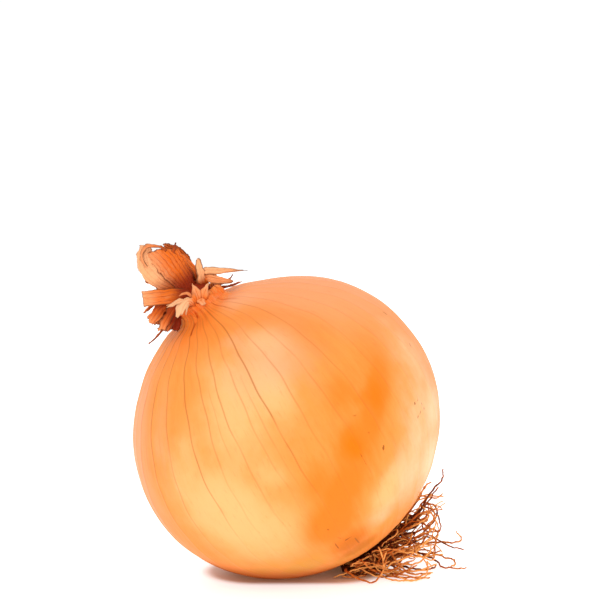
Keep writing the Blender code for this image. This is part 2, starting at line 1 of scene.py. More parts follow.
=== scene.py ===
# %% [markdown]
# # A yellow onion, lying on its side
#
# The onion is a bulb in papery skin with raised veins, a tuft of dry leaf ends and torn skin at its neck,
# and a tuft of wiry roots at its foot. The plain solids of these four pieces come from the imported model,
# which is the frame of this scene: everything is in metres, with the floor at z = 0. Each piece here is a
# finer one that keeps the form of its solid, and is built from numbers by mesh code.

# %% The frame and its box
import math
import random

import bmesh
import bpy
import numpy as np
from mathutils import Matrix, Vector


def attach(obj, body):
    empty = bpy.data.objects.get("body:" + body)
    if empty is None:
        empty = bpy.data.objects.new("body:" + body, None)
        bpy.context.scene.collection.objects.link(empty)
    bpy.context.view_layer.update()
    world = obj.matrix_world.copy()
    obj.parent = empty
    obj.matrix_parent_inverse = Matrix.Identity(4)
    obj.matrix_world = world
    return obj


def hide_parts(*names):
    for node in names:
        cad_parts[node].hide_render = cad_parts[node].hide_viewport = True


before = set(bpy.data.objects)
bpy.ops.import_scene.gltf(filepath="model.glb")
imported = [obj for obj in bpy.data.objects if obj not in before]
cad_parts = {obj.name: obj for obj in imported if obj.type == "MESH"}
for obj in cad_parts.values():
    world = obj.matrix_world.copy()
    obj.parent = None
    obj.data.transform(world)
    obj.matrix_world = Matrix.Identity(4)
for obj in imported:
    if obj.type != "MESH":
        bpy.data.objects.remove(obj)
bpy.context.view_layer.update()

print("nodes:", sorted(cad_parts))

# %% [markdown]
# ## The onion's own frame
#
# An onion is easiest to describe standing up, with its middle at the origin and its neck along +Z. Every
# point below is worked out there in millimetres, and one matrix then lays the onion down: it leans 30
# degrees, and the small flat spot under it comes to the origin of the floor. Angles round the axis are
# called turns, and angles from the neck are called polar angles, as on a globe.

# %% Main sizes of the onion
MM = 0.001
LEAN = math.radians(30.0)
BULB_RADIUS = 43.0  # at its widest; all lengths are in millimetres
FLAT_RADIUS = 7.0  # of the spot that it rests on
OUTLINE = (
    (24.0, 0.944), (36.0, 0.956), (50.0, 0.968), (70.0, 0.986), (90.0, 0.996),
    (110.0, 0.990), (130.0, 0.968), (150.0, 0.948), (168.0, 0.938), (180.0, 0.935),
)  # polar angle, share of the widest radius
NECK_START = 24.0  # the polar angle where the shoulder turns up into the neck
SHOULDER_TOP = (7.3, 41.0)  # radius and height at which the neck begins
EVEN_FROM = 35.0  # from this height up the bulb grows evenly round
NECK_TOP = 44.6
NECK_BEND = 4.6  # how far its top stands to one side
BEND_START, BEND_SPAN = 0.60, 0.42  # shares of its height over which it bends
LOBES = ((2, 0.005, 35.0), (3, 0.003, 100.0))  # how many round it, share of the radius, turn
LOPSIDED = 0.012  # fuller above on one side and below on the other
SHOULDER_TILT, TILT_END = 0.026, 52.0  # one shoulder is higher, down to this polar angle
PLATE_RADIUS, PLATE_THICK = 8.6, 2.0  # the root plate
PLATE_HOLLOW = 1.1  # how deep it sits in the bulb
NODE_GAP = 0.35  # between pieces that touch


def smooth(t):
    """0 to 1, level at both ends; takes numbers and arrays."""
    t = np.clip(t, 0.0, 1.0)
    return t * t * (3.0 - 2.0 * t)


def along_path(points, t):
    """The points at shares t of a smooth line through these points."""
    points = np.asarray(points, float)
    place = np.clip(np.asarray(t, float), 0.0, 1.0) * (len(points) - 1)
    at = np.minimum(place.astype(int), len(points) - 2)
    t = (place - at)[..., None]
    p0, p1, p2, p3 = (points[np.clip(at + k, 0, len(points) - 1)] for k in (-1, 0, 1, 2))
    return p1 + 0.5 * t * (p2 - p0 + t * (2 * p0 - 5 * p1 + 4 * p2 - p3 + t * (3 * (p1 - p2) + p3 - p0)))


def outline_radius(polar):
    """The bulb's radius from its middle at these polar angles, in degrees."""
    polar = np.clip(np.asarray(polar, float), OUTLINE[0][0], OUTLINE[-1][0])
    stops = np.array([stop for stop, _ in OUTLINE])
    shares = np.array([[share] for _, share in OUTLINE])
    at = np.clip(np.searchsorted(stops, polar, side="left"), 1, len(stops) - 1)
    t = (polar - stops[at - 1]) / (stops[at] - stops[at - 1])
    return BULB_RADIUS * along_path(shares, (at - 1 + t) / (len(stops) - 1))[..., 0]


def uneven(polar, turn):
    """The share by which the bulb is larger in this direction; both angles in radians."""
    lobes = sum(share * np.cos(n * turn - math.radians(at)) for n, share, at in LOBES)
    tilt = SHOULDER_TILT * np.cos(turn) * (1.0 - smooth(polar / math.radians(TILT_END)))
    return tilt + LOPSIDED * np.cos(turn) * np.sin(2 * polar) + lobes * np.sin(polar) ** 2


def neck_shift(height):
    """How far the neck has bent to one side at this height."""
    return -NECK_BEND * smooth((height / NECK_TOP - BEND_START) / BEND_SPAN)


def up_shoulder(height, start=EVEN_FROM):
    """0 below the starting height and 1 from the top of the shoulder up."""
    return smooth((height - start) / (SHOULDER_TOP[1] - start))


def around(radius, height, turn, shift=0.0):
    """Points at this radius, height and turn round an axis that is shifted to one side."""
    return np.stack([radius * np.cos(turn) + shift, radius * np.sin(turn), height + 0 * turn], -1)


shoulder_width = float(2 * outline_radius(NECK_START).round(1))
print("widest across, mm:", 2 * BULB_RADIUS, " at the shoulder, mm:", shoulder_width)

# %% [markdown]
# ## The outline from root to neck
#
# Half of the onion's outline is enough, because the skin is that line taken round the axis. It starts at
# the rim of the hollow that the root plate sits in, goes up the body, and turns up into the neck on a
# Bezier curve. The rings lie closer together at the neck, where the skin gathers in fine wrinkles.

# %% Points of the outline
BODY_RINGS, SHOULDER_RINGS = 140, 56
SOLID_RINGS = 18  # as many as the solid has
SHOULDER_PULL = 4.6  # how long the curve keeps the shoulder's direction
ARRIVE = (-0.2, 1.0)  # the direction in which it comes to the neck
NECK_LIP = ((7.32, 41.6), (7.30, 42.2), (7.22, 42.9), (7.05, 43.5), (6.7, 43.9), (6.2, 43.8), (5.8, 43.2))

foot_polar = 180.0 - math.degrees(math.asin((PLATE_RADIUS + NODE_GAP) / float(outline_radius(168.0))))


def body_rings(count):
    """(radius, height) of this many rings, from the rim of the root hollow to the shoulder."""
    polars = np.linspace(foot_polar, NECK_START, count)
    radii = outline_radius(polars)
    return np.stack([radii * np.sin(np.radians(polars)), radii * np.cos(np.radians(polars))], 1)


def outline_points():
    """(radius, height) of every ring, up to the lip of the neck."""
    body = body_rings(BODY_RINGS)
    start, top = body[-1], np.array(SHOULDER_TOP)
    leave = body[-1] - body[-2]
    leave *= SHOULDER_PULL / np.linalg.norm(leave)
    arrive = np.array(ARRIVE) / math.hypot(*ARRIVE) * SHOULDER_PULL * 0.6
    t = (np.arange(1, SHOULDER_RINGS + 1) / SHOULDER_RINGS)[:, None]
    bend = (1 - t) ** 3 * start + 3 * t * (1 - t) ** 2 * (start + leave)
    bend += 3 * t * t * (1 - t) * (top - arrive) + t**3 * top
    return np.concatenate([body, bend, np.array(NECK_LIP)])


outline = outline_points()
print("rings of skin:", len(outline), " foot, mm:", outline[0].round(2), " lip, mm:", outline[-1].round(2))

# %% [markdown]
# ## Laying the onion down
#
# The matrix must be the solid's own, or the pieces would not stand in for it. So the lowest point of the
# leaning bulb is looked up on as few rings as the solid has, and the onion sinks until its flat spot is
# wide enough.

# %% The matrix
def lay_down():
    """The matrix from the onion's own frame in millimetres to the frame of the scene in metres."""
    lean = Matrix.Rotation(-LEAN, 4, "Y")
    rings = body_rings(SOLID_RINGS)
    below = uneven(np.arctan2(rings[:, 0], rings[:, 1]), math.pi)
    larger = 1.0 + below * (1.0 - up_shoulder(rings[:, 1]))
    points = [Vector((-r * k + neck_shift(h * k), 0.0, h * k)) for (r, h), k in zip(rings, larger)]
    under = min((lean @ p for p in points), key=lambda p: p.z)
    reach = -under.z
    flat_depth = reach - math.sqrt(reach**2 - FLAT_RADIUS**2)
    return Matrix.Scale(MM, 4) @ Matrix.Translation((-under.x, 0.0, reach - flat_depth)) @ lean


LAID = lay_down()
print("middle of the bulb in the scene, mm:", [round(c / MM, 2) for c in LAID.translation])

# %% [markdown]
# ## Veins
#
# The veins of the skin run from the roots to the neck. Those on the seen side have measured turns and
# strengths, and the rest are spread by a seeded rule. Each one wanders a little on its way, and near the
# neck all of them turn aside together, because the skin twists as it dries. The columns of the mesh follow
# the veins and crowd beside them, so a narrow ridge comes out sharp without a mesh that is fine all over.

# %% The turn of every vein
SEEN_VEINS = (-61.0, -73.5, -83.7, -94.0, -103.8, -111.3, -119.5, -128.4, -137.0, -150.0, -161.0)
SEEN_STRENGTH = (0.3, 0.5, 0.5, 0.55, 0.95, 0.5, 0.65, 0.6, 0.9, 0.7, 0.95)  # how dark each one is
HIDDEN_VEINS = 24
VEIN_SEED, STRENGTH_SEED = 5, 31
BETWEEN = (0.0, 0.035, 0.09, 0.18, 0.32, 0.5, 0.68, 0.82, 0.91, 0.965)  # columns between two veins
WANDER = 0.9  # degrees
NECK_TWIST, TWIST_SPAN = 5.0, 20.0  # degrees by which the skin turns at the neck, and over which it does so


def vein_turns():
    """The turn of every vein in degrees, measured on the seen side and drawn for the others."""
    rng = random.Random(VEIN_SEED)
    first, last = SEEN_VEINS[0], SEEN_VEINS[-1] + 360.0
    gap = (last - first) / (HIDDEN_VEINS + 1)
    hidden = [first + gap * (i + 1 + rng.uniform(-0.22, 0.22)) for i in range(HIDDEN_VEINS)]
    return np.array(sorted(a % 360.0 for a in (*SEEN_VEINS, *hidden)))


def waver(seed, t, rates=(2.3, 5.1, 11.7)):
    """A smooth irregular line between about -1 and 1."""
    rng = random.Random(seed)
    parts = [math.pow(0.6, k) * np.sin(rate * t + rng.uniform(0, 6.28)) for k, rate in enumerate(rates)]
    return sum(parts) / 1.96


veins = vein_turns()
gaps = np.diff(np.append(veins, veins[0] + 360.0))
print("veins:", len(veins), " gaps between them, degrees:", gaps.min().round(1), "to", gaps.max().round(1))

# %% Columns of the skin
def skin_columns(polars):
    """Turns in degrees, and for each column its two veins and its share of the way between them."""
    count = len(veins)
    left = np.repeat(np.arange(count), len(BETWEEN))
    share = np.tile(np.array(BETWEEN), count)
    wander = np.array([WANDER * waver(100 + k, np.radians(polars) * 2.0) for k in range(count)])
    wander *= smooth((polars - 18.0) / 25.0)
    turns = veins[left] + gaps[left] * share
    twist = NECK_TWIST * (1.0 - smooth((polars - NECK_START) / TWIST_SPAN))
    sideways = wander[left] * (1 - share)[:, None] + wander[(left + 1) % count] * share[:, None]
    return turns[None, :] + twist[:, None] + sideways.T, left, share


ring_polars = np.degrees(np.arctan2(outline[:, 0], outline[:, 1]))
turns, left_vein, vein_share = skin_columns(ring_polars)
print("columns of skin:", turns.shape[1], " faces:", 2 * turns.shape[0] * turns.shape[1])

# %% [markdown]
# ## The relief of the skin
#
# Dry onion skin is never smooth. Four things lift it here, all by a fraction of a millimetre: a ridge at
# each vein, a faint hollow between veins, large soft dents, and the wrinkles of the neck, which grow deep
# where the skin gathers. A fifth cuts in: one fold that runs down the front of the neck. A sum of waves in
# the direction of each point gives dents without a seam.

# %% Relief
VEIN_HEIGHT, VEIN_WIDTH = 0.20, 0.42
NECK_PLEAT, PLEAT_START = 0.34, 34.5  # the veins deepen into pleats from this height up
WRINKLE = 0.20
DENT, DENT_SIZE = 0.16, 26.0
FOLD_DEPTH = 0.45


def soft_noise(points, size, seed, octaves=3):
    """Smooth noise from -1 to 1 at points in millimetres, made of waves about this size."""
    rng = np.random.default_rng(seed)
    total, weight = 0.0, 0.0
    for octave in range(octaves):
        for _ in range(5):
            way = rng.normal(size=3)
            way *= 2 * math.pi / (size / 1.9**octave) / np.linalg.norm(way)
            total = total + 0.55**octave * np.sin(points @ way + rng.uniform(0, 6.28))
        weight += 0.55**octave * 2.2
    return total / weight


NECK_FOLD = (
    (-7.9, -6.1, 42.9), (-7.7, -6.2, 41.6), (-7.5, -6.4, 40.3), (-8.3, -7.0, 39.5),
    (-9.3, -7.3, 38.9), (-10.9, -8.8, 38.1), (-12.5, -10.8, 37.4),
)


def gathers(turn, height):
    """Fine wrinkles round the neck, from about -1 to 1; they fan out over the shoulder."""
    return sum(np.sin(n * turn + 0.16 * height + n) for n in (23, 37, 53, 71)) / 2.6


def near_neck(radius, height):
    """1 at the neck and 0 from 20 mm away from its axis."""
    return smooth((20.0 - radius) / 12.0) * (height > 0)


def from_fold(points):
    """How far each point is from the fold on the front of the neck, in millimetres."""
    steps = along_path(NECK_FOLD, np.linspace(0, 1, 90))
    return np.min([np.linalg.norm(points - step, axis=-1) for step in steps], axis=0)


def skin_relief(radius, height, turn, share, gap_mm, points):
    """How far the skin is lifted at each point, in millimetres."""
    deep = up_shoulder(height, PLEAT_START)
    from_vein = np.minimum(share, 1 - share) * gap_mm
    ridge = np.exp(-((from_vein / (VEIN_WIDTH - 0.18 * deep)) ** 2))
    hollow = np.cos(2 * math.pi * share) * 0.5 + 0.5
    relief = (VEIN_HEIGHT + (NECK_PLEAT - VEIN_HEIGHT) * deep) * (0.55 * ridge + 0.45 * hollow)
    relief = relief * smooth(radius / 23.0 + deep)
    close = near_neck(radius, height)
    relief = relief + WRINKLE * close * gathers(turn, height)
    return relief + DENT * soft_noise(points, DENT_SIZE, 3) * (1 - 0.6 * close)


# %% Points of the skin
SHOULDER_FILL = 1.7  # the shoulder stands fuller on the side away from the bend of the neck


def skin_points():
    """Every point of the skin, ring by ring, in the onion's own frame and in millimetres."""
    radius, height = outline[:, 0][:, None], outline[:, 1][:, None]
    turn = np.radians(turns)
    deep = up_shoulder(height)
    larger = 1.0 + uneven(np.arctan2(radius, height), turn) * (1 - deep)
    side = smooth(0.5 + 0.9 * np.cos(turn + math.radians(9.5)))
    fill = SHOULDER_FILL * side * np.exp(-(((radius - 10.5) / 4.6) ** 2)) * (height > 0) * (1 - 0.5 * deep)
    gap_mm = radius * np.radians(gaps[left_vein])[None, :]
    relief = skin_relief(radius, height, turn, vein_share[None, :], gap_mm, around(radius, height, turn))
    up = height * larger + fill
    points = around(radius * larger + relief, up, turn, neck_shift(up))
    groove = FOLD_DEPTH * np.exp(-((from_fold(points) / 0.4) ** 2))
    inward = around(1.0, 0.3, turn)
    return points - inward * groove[..., None], gap_mm


skin, gap_mm = skin_points()
print("skin reaches, mm:", skin.reshape(-1, 3).min(0).round(1), skin.reshape(-1, 3).max(0).round(1))

# %% [markdown]
# ## From grids of points to meshes
#
# Every piece is a grid of points with faces between them. One helper turns points and faces into an object,
# lays it down and stores numbers at its points. The finishes read those numbers, such as the distance to
# the nearest vein, so the colour of a vein falls exactly on its ridge.

# %% Mesh helpers
def as_piece(name, points, faces, numbers):
    """An object in the scene from points in the onion's own frame; all its faces point outwards."""
    mesh = bpy.data.meshes.new(name)
    world = np.c_[points, np.ones(len(points))] @ np.array(LAID).T
    mesh.from_pydata(world[:, :3].tolist(), [], faces)
    for key, values in {**numbers, "place": points}.items():
        values = np.asarray(values, np.float32)
        kind, field = ("FLOAT", "value") if values.ndim == 1 else ("FLOAT_VECTOR", "vector")
        mesh.attributes.new(key, kind, "POINT").data.foreach_set(field, values.ravel())
    bm = bmesh.new()
    bm.from_mesh(mesh)
    bmesh.ops.recalc_face_normals(bm, faces=bm.faces[:])
    bm.to_mesh(mesh)
    bm.free()
    mesh.shade_smooth()
    piece = bpy.data.objects.new(name, mesh)
    bpy.context.scene.collection.objects.link(piece)
    triangles = sum(len(face.vertices) - 2 for face in mesh.polygons)
    print(name, "points:", len(mesh.vertices), " triangles:", triangles)
    return piece


def ring_faces(rings, columns):
    """Faces between rings of points, each ring closed on itself."""
    i, j = np.meshgrid(np.arange(rings - 1), np.arange(columns), indexing="ij")
    k = (j + 1) % columns
    quads = np.stack([i * columns + j, i * columns + k, (i + 1) * columns + k, (i + 1) * columns + j], -1)
    return quads.reshape(-1, 4).tolist()


def fan_faces(ring, centre):
    """Faces from a closed ring of points to one point in its middle."""
    return [(a, b, centre) for a, b in zip(ring, ring[1:] + ring[:1])]


def turned(line, rings, columns):
    """Radius, height and turn of a grid whose outline goes smoothly through these radii and heights."""
    line = along_path(line, np.linspace(0, 1, rings))
    turn = np.linspace(0, 2 * math.pi, columns, endpoint=False)
    return line[:, 0][:, None], line[:, 1][:, None], turn[None, :]


def closed_rings(rings, ends):
    """Points and faces of a stack of rings that a point at each end closes."""
    rows, columns = rings.shape[:2]
    last = rows * columns
    faces = ring_faces(rows, columns) + fan_faces(list(range(columns)), last)
    faces += fan_faces(list(range(last - columns, last)), last + 1)
    return np.concatenate([rings.reshape(-1, 3), ends]), faces


# %% The bulb as a mesh
LIP_BOTTOM = 42.6  # height at which the neck is closed, inside its lip


def make_bulb():
    """The skin, closed by the hollow for the root plate below and by the neck's end above."""
    rings, columns = skin.shape[:2]
    points = skin.reshape(-1, 3)
    hollow = outline[0][1] + PLATE_HOLLOW
    floor_ring = skin[0] * (1, 1, 0) + (0, 0, hollow)
    inside = np.array([[neck_shift(NECK_TOP), 0.0, LIP_BOTTOM], [0.0, 0.0, hollow]])
    points = np.concatenate([points, floor_ring, inside])
    ring_start, centre = rings * columns, rings * columns + columns
    faces = ring_faces(rings, columns)
    faces += fan_faces(list(range((rings - 1) * columns, rings * columns)), centre)
    first = np.arange(columns)
    second = (first + 1) % columns
    faces += np.stack([second, first, ring_start + first, ring_start + second], 1).tolist()
    faces += fan_faces(list(range(ring_start, ring_start + columns)), centre + 1)
    return as_piece("bulb_skin", points, faces, bulb_numbers(points))


# %% [markdown]
# ## Patches of colour
#
# The skin is not one colour, and several of its patches also hold painted light and shade. It is palest on
# the front of the bulb, partly as a painted highlight, and deep orange with amber spots in a band beside
# that, partly as painted shade between the lit areas. It is pink on top and rosy at the shoulder and the
# left, partly as painted shade at the rim, and cream towards the roots, partly as a painted sheen on the
# right side. Low down it is darker, which is painted shade of the underside; it is brownish at a scar there,
# which also holds the painted shadow of the roots, and brown underneath, as painted contact shade. Each
# patch is made of soft ovals round directions on the bulb. Its strength is stored at the points, and the
# finish breaks up its edge with streaks.

# %% Patches
PATCHES = {
    # each oval: turn, polar, half width in turn, half width in polar, slant, all in degrees, and strength
    # the pale ovals are partly a painted highlight on the front
    "pale": (
        (-146, 80, 9, 12, 0, 0.6), (-116, 62, 20, 24, 0.1, 0.8), (-100, 60, 9, 16, 0, 0.9),
        (-134, 96, 20, 26, -0.3, 1), (-90, 46, 12, 10, 0, 0.7), (-80, 116, 9, 8, 0.3, 0.8),
        (-141, 67, 9, 10, 0, 0.5), (-114, 86, 8, 9, 0, 0.6)),
    "orange": (
        # the orange ovals are partly painted shade in the band between the lit areas
        (-68, 84, 8, 11, 0.9, 1.35), (-60, 72, 16, 14, 0.5, 0.5), (-82, 94, 12, 12, 0.6, 0.8),
        (-95, 104, 12, 10, 0.5, 1.1), (-104, 114, 11, 10, 0.3, 1.3), (-103, 128, 11, 8, 0, 1),
        (-85, 92, 7, 7, 0.3, 1.2), (-70, 52, 14, 16, 0, 0.5), (-101, 97, 8, 8, 0.3, 0.7),
        (-78, 76, 9, 9, 0.3, 0.65), (60, 84, 16, 16, 0.8, 0.7), (100, 62, 14, 20, 0, 0.7),
        (150, 92, 16, 16, -0.4, 0.6)),
    # the pink ovals at the top and the left edge are partly painted rim shade
    "pink": (
        (-30, 30, 44, 44, 0, 1.2), (-32, 90, 12, 30, 0, 0.8), (-178, 66, 13, 50, 0, 1),
        (40, 50, 60, 30, 0, 1)),
    # the cream ovals are partly a painted sheen on the right side and the back
    "cream_sheen": (
        (-47, 122, 14, 15, 0, 0.84), (-70, 116, 14, 12, 0.3, 0.5), (-83, 125, 10, 8, 0.3, 0.52),
        (-42, 104, 15, 14, 0, 0.68), (-57, 107, 12, 12, 0.3, 0.55), (-40, 84, 12, 17, 0, 0.45),
        (-64, 118, 14, 13, 0, 0.62), (-53, 96, 13, 14, 0.2, 0.42), (20, 114, 34, 18, 0, 0.55),
        (130, 110, 30, 22, 0, 0.4)),
    # the rosy ovals at the left edge are partly painted rim shade
    "rosy": (
        (-92, 51, 24, 15, 0, 0.8), (-101, 38, 9, 7, 0, 0.6), (-154, 62, 9, 26, 0, 0.45),
        (-180, 60, 9, 34, 0, 0.5), (0, 38, 34, 26, 0, 0.3), (-62, 18, 30, 9, 0, 0.55)),
    "amber": ((-68, 84, 4, 6, 0.5, 1), (-73, 81, 4, 3, 0, 0.6), (-85, 93, 4, 5, 0, 0.9)),
    # partly a real scar, partly the painted shadow of the roots on the skin beside them
    "scar_and_root_shade": ((-102, 130, 9, 6, 0, 1), (-100, 138, 13, 5, 0, 1.1)),
    # painted shade on the lower side of the bulb
    "low_shade": (
        (-126, 131, 15, 7, 0, 1.1), (-142, 124, 12, 6, 0, 0.7), (-108, 141, 20, 6, 0, 0.6),
        (-80, 133, 12, 5, 0, 0.5)),
    "neck": (
        (-126, 16, 50, 18, 0, 1), (90, 10, 90, 12, 0, 1), (-70, 9, 50, 9, 0, 1), (-76, 32, 20, 14, 0, 0.5)),
}
BLEND = 4.0  # how firmly the strongest oval wins where two meet; lower is softer
# painted contact shade: close to the floor the skin turns darker and browner
CONTACT_SHADE_FROM, CONTACT_SHADE_FULL = 8.0, 2.0  # between these heights above the floor the skin gets browner


def patch_strength(name, turn, polar):
    """How strongly each point lies in this patch: 0 outside it, about 1 in its middle."""
    found = np.zeros_like(turn)
    for at_turn, at_polar, wide, tall, slant, strength in PATCHES[name]:
        down = polar - at_polar
        across = (turn - at_turn + 180.0) % 360.0 - 180.0 + slant * down
        found = found + (strength * np.exp(-((across / wide) ** 2 + (down / tall) ** 2))) ** BLEND
    return found ** (1.0 / BLEND)


def vein_strengths():
    """How dark each vein is: measured on the seen side, drawn for the others and weak on the upper right."""
    rng = random.Random(STRENGTH_SEED)
    strong = np.array([rng.uniform(0.35, 0.9) for _ in veins])
    strong[veins > 300.0] *= 0.4
    for turn, strength in zip(SEEN_VEINS, SEEN_STRENGTH):
        strong[np.argmin(np.abs(veins - turn % 360.0))] = strength
    return strong


def bulb_numbers(points):
    """What the skin's finish reads at each point."""
    spare = len(points) - skin.shape[0] * skin.shape[1]

    def padded(values):
        return np.concatenate([np.asarray(values, float).ravel(), np.zeros(spare)])

    beside, height = points[:, 0] - neck_shift(points[:, 2]), points[:, 2]
    turn, radius = np.arctan2(points[:, 1], beside), np.hypot(points[:, 1], beside)
    wrinkled = near_neck(radius, height) * np.maximum(0, -gathers(turn, height))
    around_axis = np.stack([14 * np.cos(turn), 14 * np.sin(turn)], 1)
    turn, polar = np.degrees(turn), np.degrees(np.arctan2(radius, height))
    share = np.broadcast_to(vein_share[None, :], turns.shape)
    strong = vein_strengths()
    mixed = strong[left_vein] * (1 - vein_share) + np.roll(strong, -1)[left_vein] * vein_share
    fading = 1.0 - 0.85 * smooth((ring_polars - 70.0) / 42.0)
    numbers = {
        "from_vein": padded(np.minimum(share, 1 - share) * gap_mm),
        "from_middle": padded(np.abs(share - 0.5) * gap_mm),
        "vein_strength": padded(mixed[None, :] * fading[:, None]),
        "from_fold": from_fold(points),
        "gather": wrinkled,
        "grain": np.c_[around_axis, polar * 0.05],
    }
    # painted contact shade, by height above the floor
    above_floor = (np.c_[points, np.ones(len(points))] @ np.array(LAID).T)[:, 2] / MM
    numbers["under"] = smooth((CONTACT_SHADE_FROM - above_floor) / (CONTACT_SHADE_FROM - CONTACT_SHADE_FULL))
    return numbers | {name: patch_strength(name, turn, polar) for name in PATCHES}


bulb = make_bulb()

# %% [markdown]
# ## The flat spot
#
# The bulb rests on a small flat spot. Points that would hang below the floor are moved up to it, which
# flattens the skin there and leaves the mesh closed.

# %% Flattening the spot
below = [vertex for vertex in bulb.data.vertices if vertex.co.z < 0.0]
for vertex in below:
    vertex.co.z = 0.0
print("points pressed to the floor:", len(below))

# %% [markdown]
# ## Maths on shader sockets
#
# A finish is a web of nodes, but it is easier to read as a sum. The class below wraps one socket, so that
# adding or multiplying two of them adds the node that does it: Math nodes for plain values, Vector Math for
# vectors and colours. Recipe.node() adds any other kind of node.

# %% Sockets with arithmetic
class Wire:
    """One output socket of a material's nodes."""

    def __init__(self, recipe, socket):
        self.recipe, self.socket = recipe, socket

    def join(self, operation, first, second):
        many = any(isinstance(side, Wire) and side.socket.type != "VALUE" for side in (first, second))
        kind = "ShaderNodeVectorMath" if many else "ShaderNodeMath"
        return self.recipe.node(kind, {"operation": operation}, {0: first, 1: second})

    def __add__(self, other):
        return self.join("ADD", self, other)

    def __radd__(self, other):
        return self.join("ADD", other, self)

    def __sub__(self, other):
        return self.join("SUBTRACT", self, other)

    def __rsub__(self, other):
        return self.join("SUBTRACT", other, self)

    def __mul__(self, other):
        return self.join("MULTIPLY", self, other)

    def __rmul__(self, other):
        return self.join("MULTIPLY", other, self)

    def __pow__(self, power):
        return self.join("POWER", self, power)

    def most(self, other):
        return self.join("MAXIMUM", self, other)

    def step(self, low, high):
        """0 below low and 1 above high, with a soft change between them; low may be the higher one."""
        start, end = (0.0, 1.0) if low < high else (1.0, 0.0)
        low, high = sorted((low, high))
        values = {"Value": self, "From Min": low, "From Max": high, "To Min": start, "To Max": end}
        return self.recipe.node("ShaderNodeMapRange", {"interpolation_type": "SMOOTHSTEP"}, values)


BUMP_HEIGHT = 0.0002  # of the finest relief, in metres


class Recipe:
    """A material that is being put together round its Principled shader."""

    def __init__(self, name):
        self.material = bpy.data.materials.new(name)
        self.material.use_nodes = True
        self.tree = self.material.node_tree
        self.shader = self.tree.nodes["Principled BSDF"]

    def plug(self, socket, value):
        if isinstance(value, Wire):
            self.tree.links.new(value.socket, socket)
        elif socket.type == "RGBA":
            socket.default_value = (*value, 1.0)[:4]
        elif socket.type == "VECTOR" and not hasattr(value, "__len__"):
            socket.default_value = (value,) * 3
        else:
            socket.default_value = value

    def node(self, kind, settings=None, values=None, output=0):
        """Adds a node: its settings first, then the values or wires of its inputs."""
        made = self.tree.nodes.new(kind)
        for key, value in (settings or {}).items():
            setattr(made, key, value)
        for key, value in (values or {}).items():
            self.plug(made.inputs[key], value)
        return Wire(self, made.outputs[output])

    def number(self, name):
        """A number stored at the points of the mesh."""
        return self.node("ShaderNodeAttribute", {"attribute_name": name}, output="Fac")

    def spot(self, name):
        """Three numbers stored at the points of the mesh."""
        return self.node("ShaderNodeAttribute", {"attribute_name": name}, output="Vector")

    def noise(self, where, scale, detail=3.0, rough=0.55):
        values = {"Vector": where, "Scale": scale, "Detail": detail, "Roughness": rough}
        return self.node("ShaderNodeTexNoise", {}, values)

    def mix(self, share, first, second):
        """From the first colour at share 0 to the second at share 1."""
        return self.node("ShaderNodeMix", {"data_type": "RGBA"}, {0: share, 6: first, 7: second}, output=2)

    def measure(self, operation, *vectors):
        """One number from vectors, such as their dot product or a length."""
        values = dict(enumerate(vectors))
        return self.node("ShaderNodeVectorMath", {"operation": operation}, values, output="Value")

    def bump(self, height, strength):
        values = {"Height": height, "Distance": BUMP_HEIGHT, "Strength": strength}
        return self.node("ShaderNodeBump", {}, values, output="Normal")

    def finish(self, **sockets):
        """Plugs values and wires into the shader; an underscore in a key stands for a space."""
        for key, value in sockets.items():
            self.plug(self.shader.inputs[key.replace("_", " ")], value)
        print("finish", self.material.name, "nodes:", len(self.tree.nodes))
        return self.material


# %% [markdown]
# ## The finish of the skin
#
# Dry skin is satin, not glossy. Its colour starts as a golden orange with fine streaks along the grain,
# takes on the patches, and then the veins, which are thin brown lines that break and fade towards the
# roots. Wrinkles at the neck are painted darker and redder in their hollows as shade, and the fold down
# its front is a dark line that is partly painted shade in its groove. Last come small dark marks, each an
# oval in space with a ragged edge, and a painted contact shade that turns the skin dark brown close to
# the floor, where it is also duller.

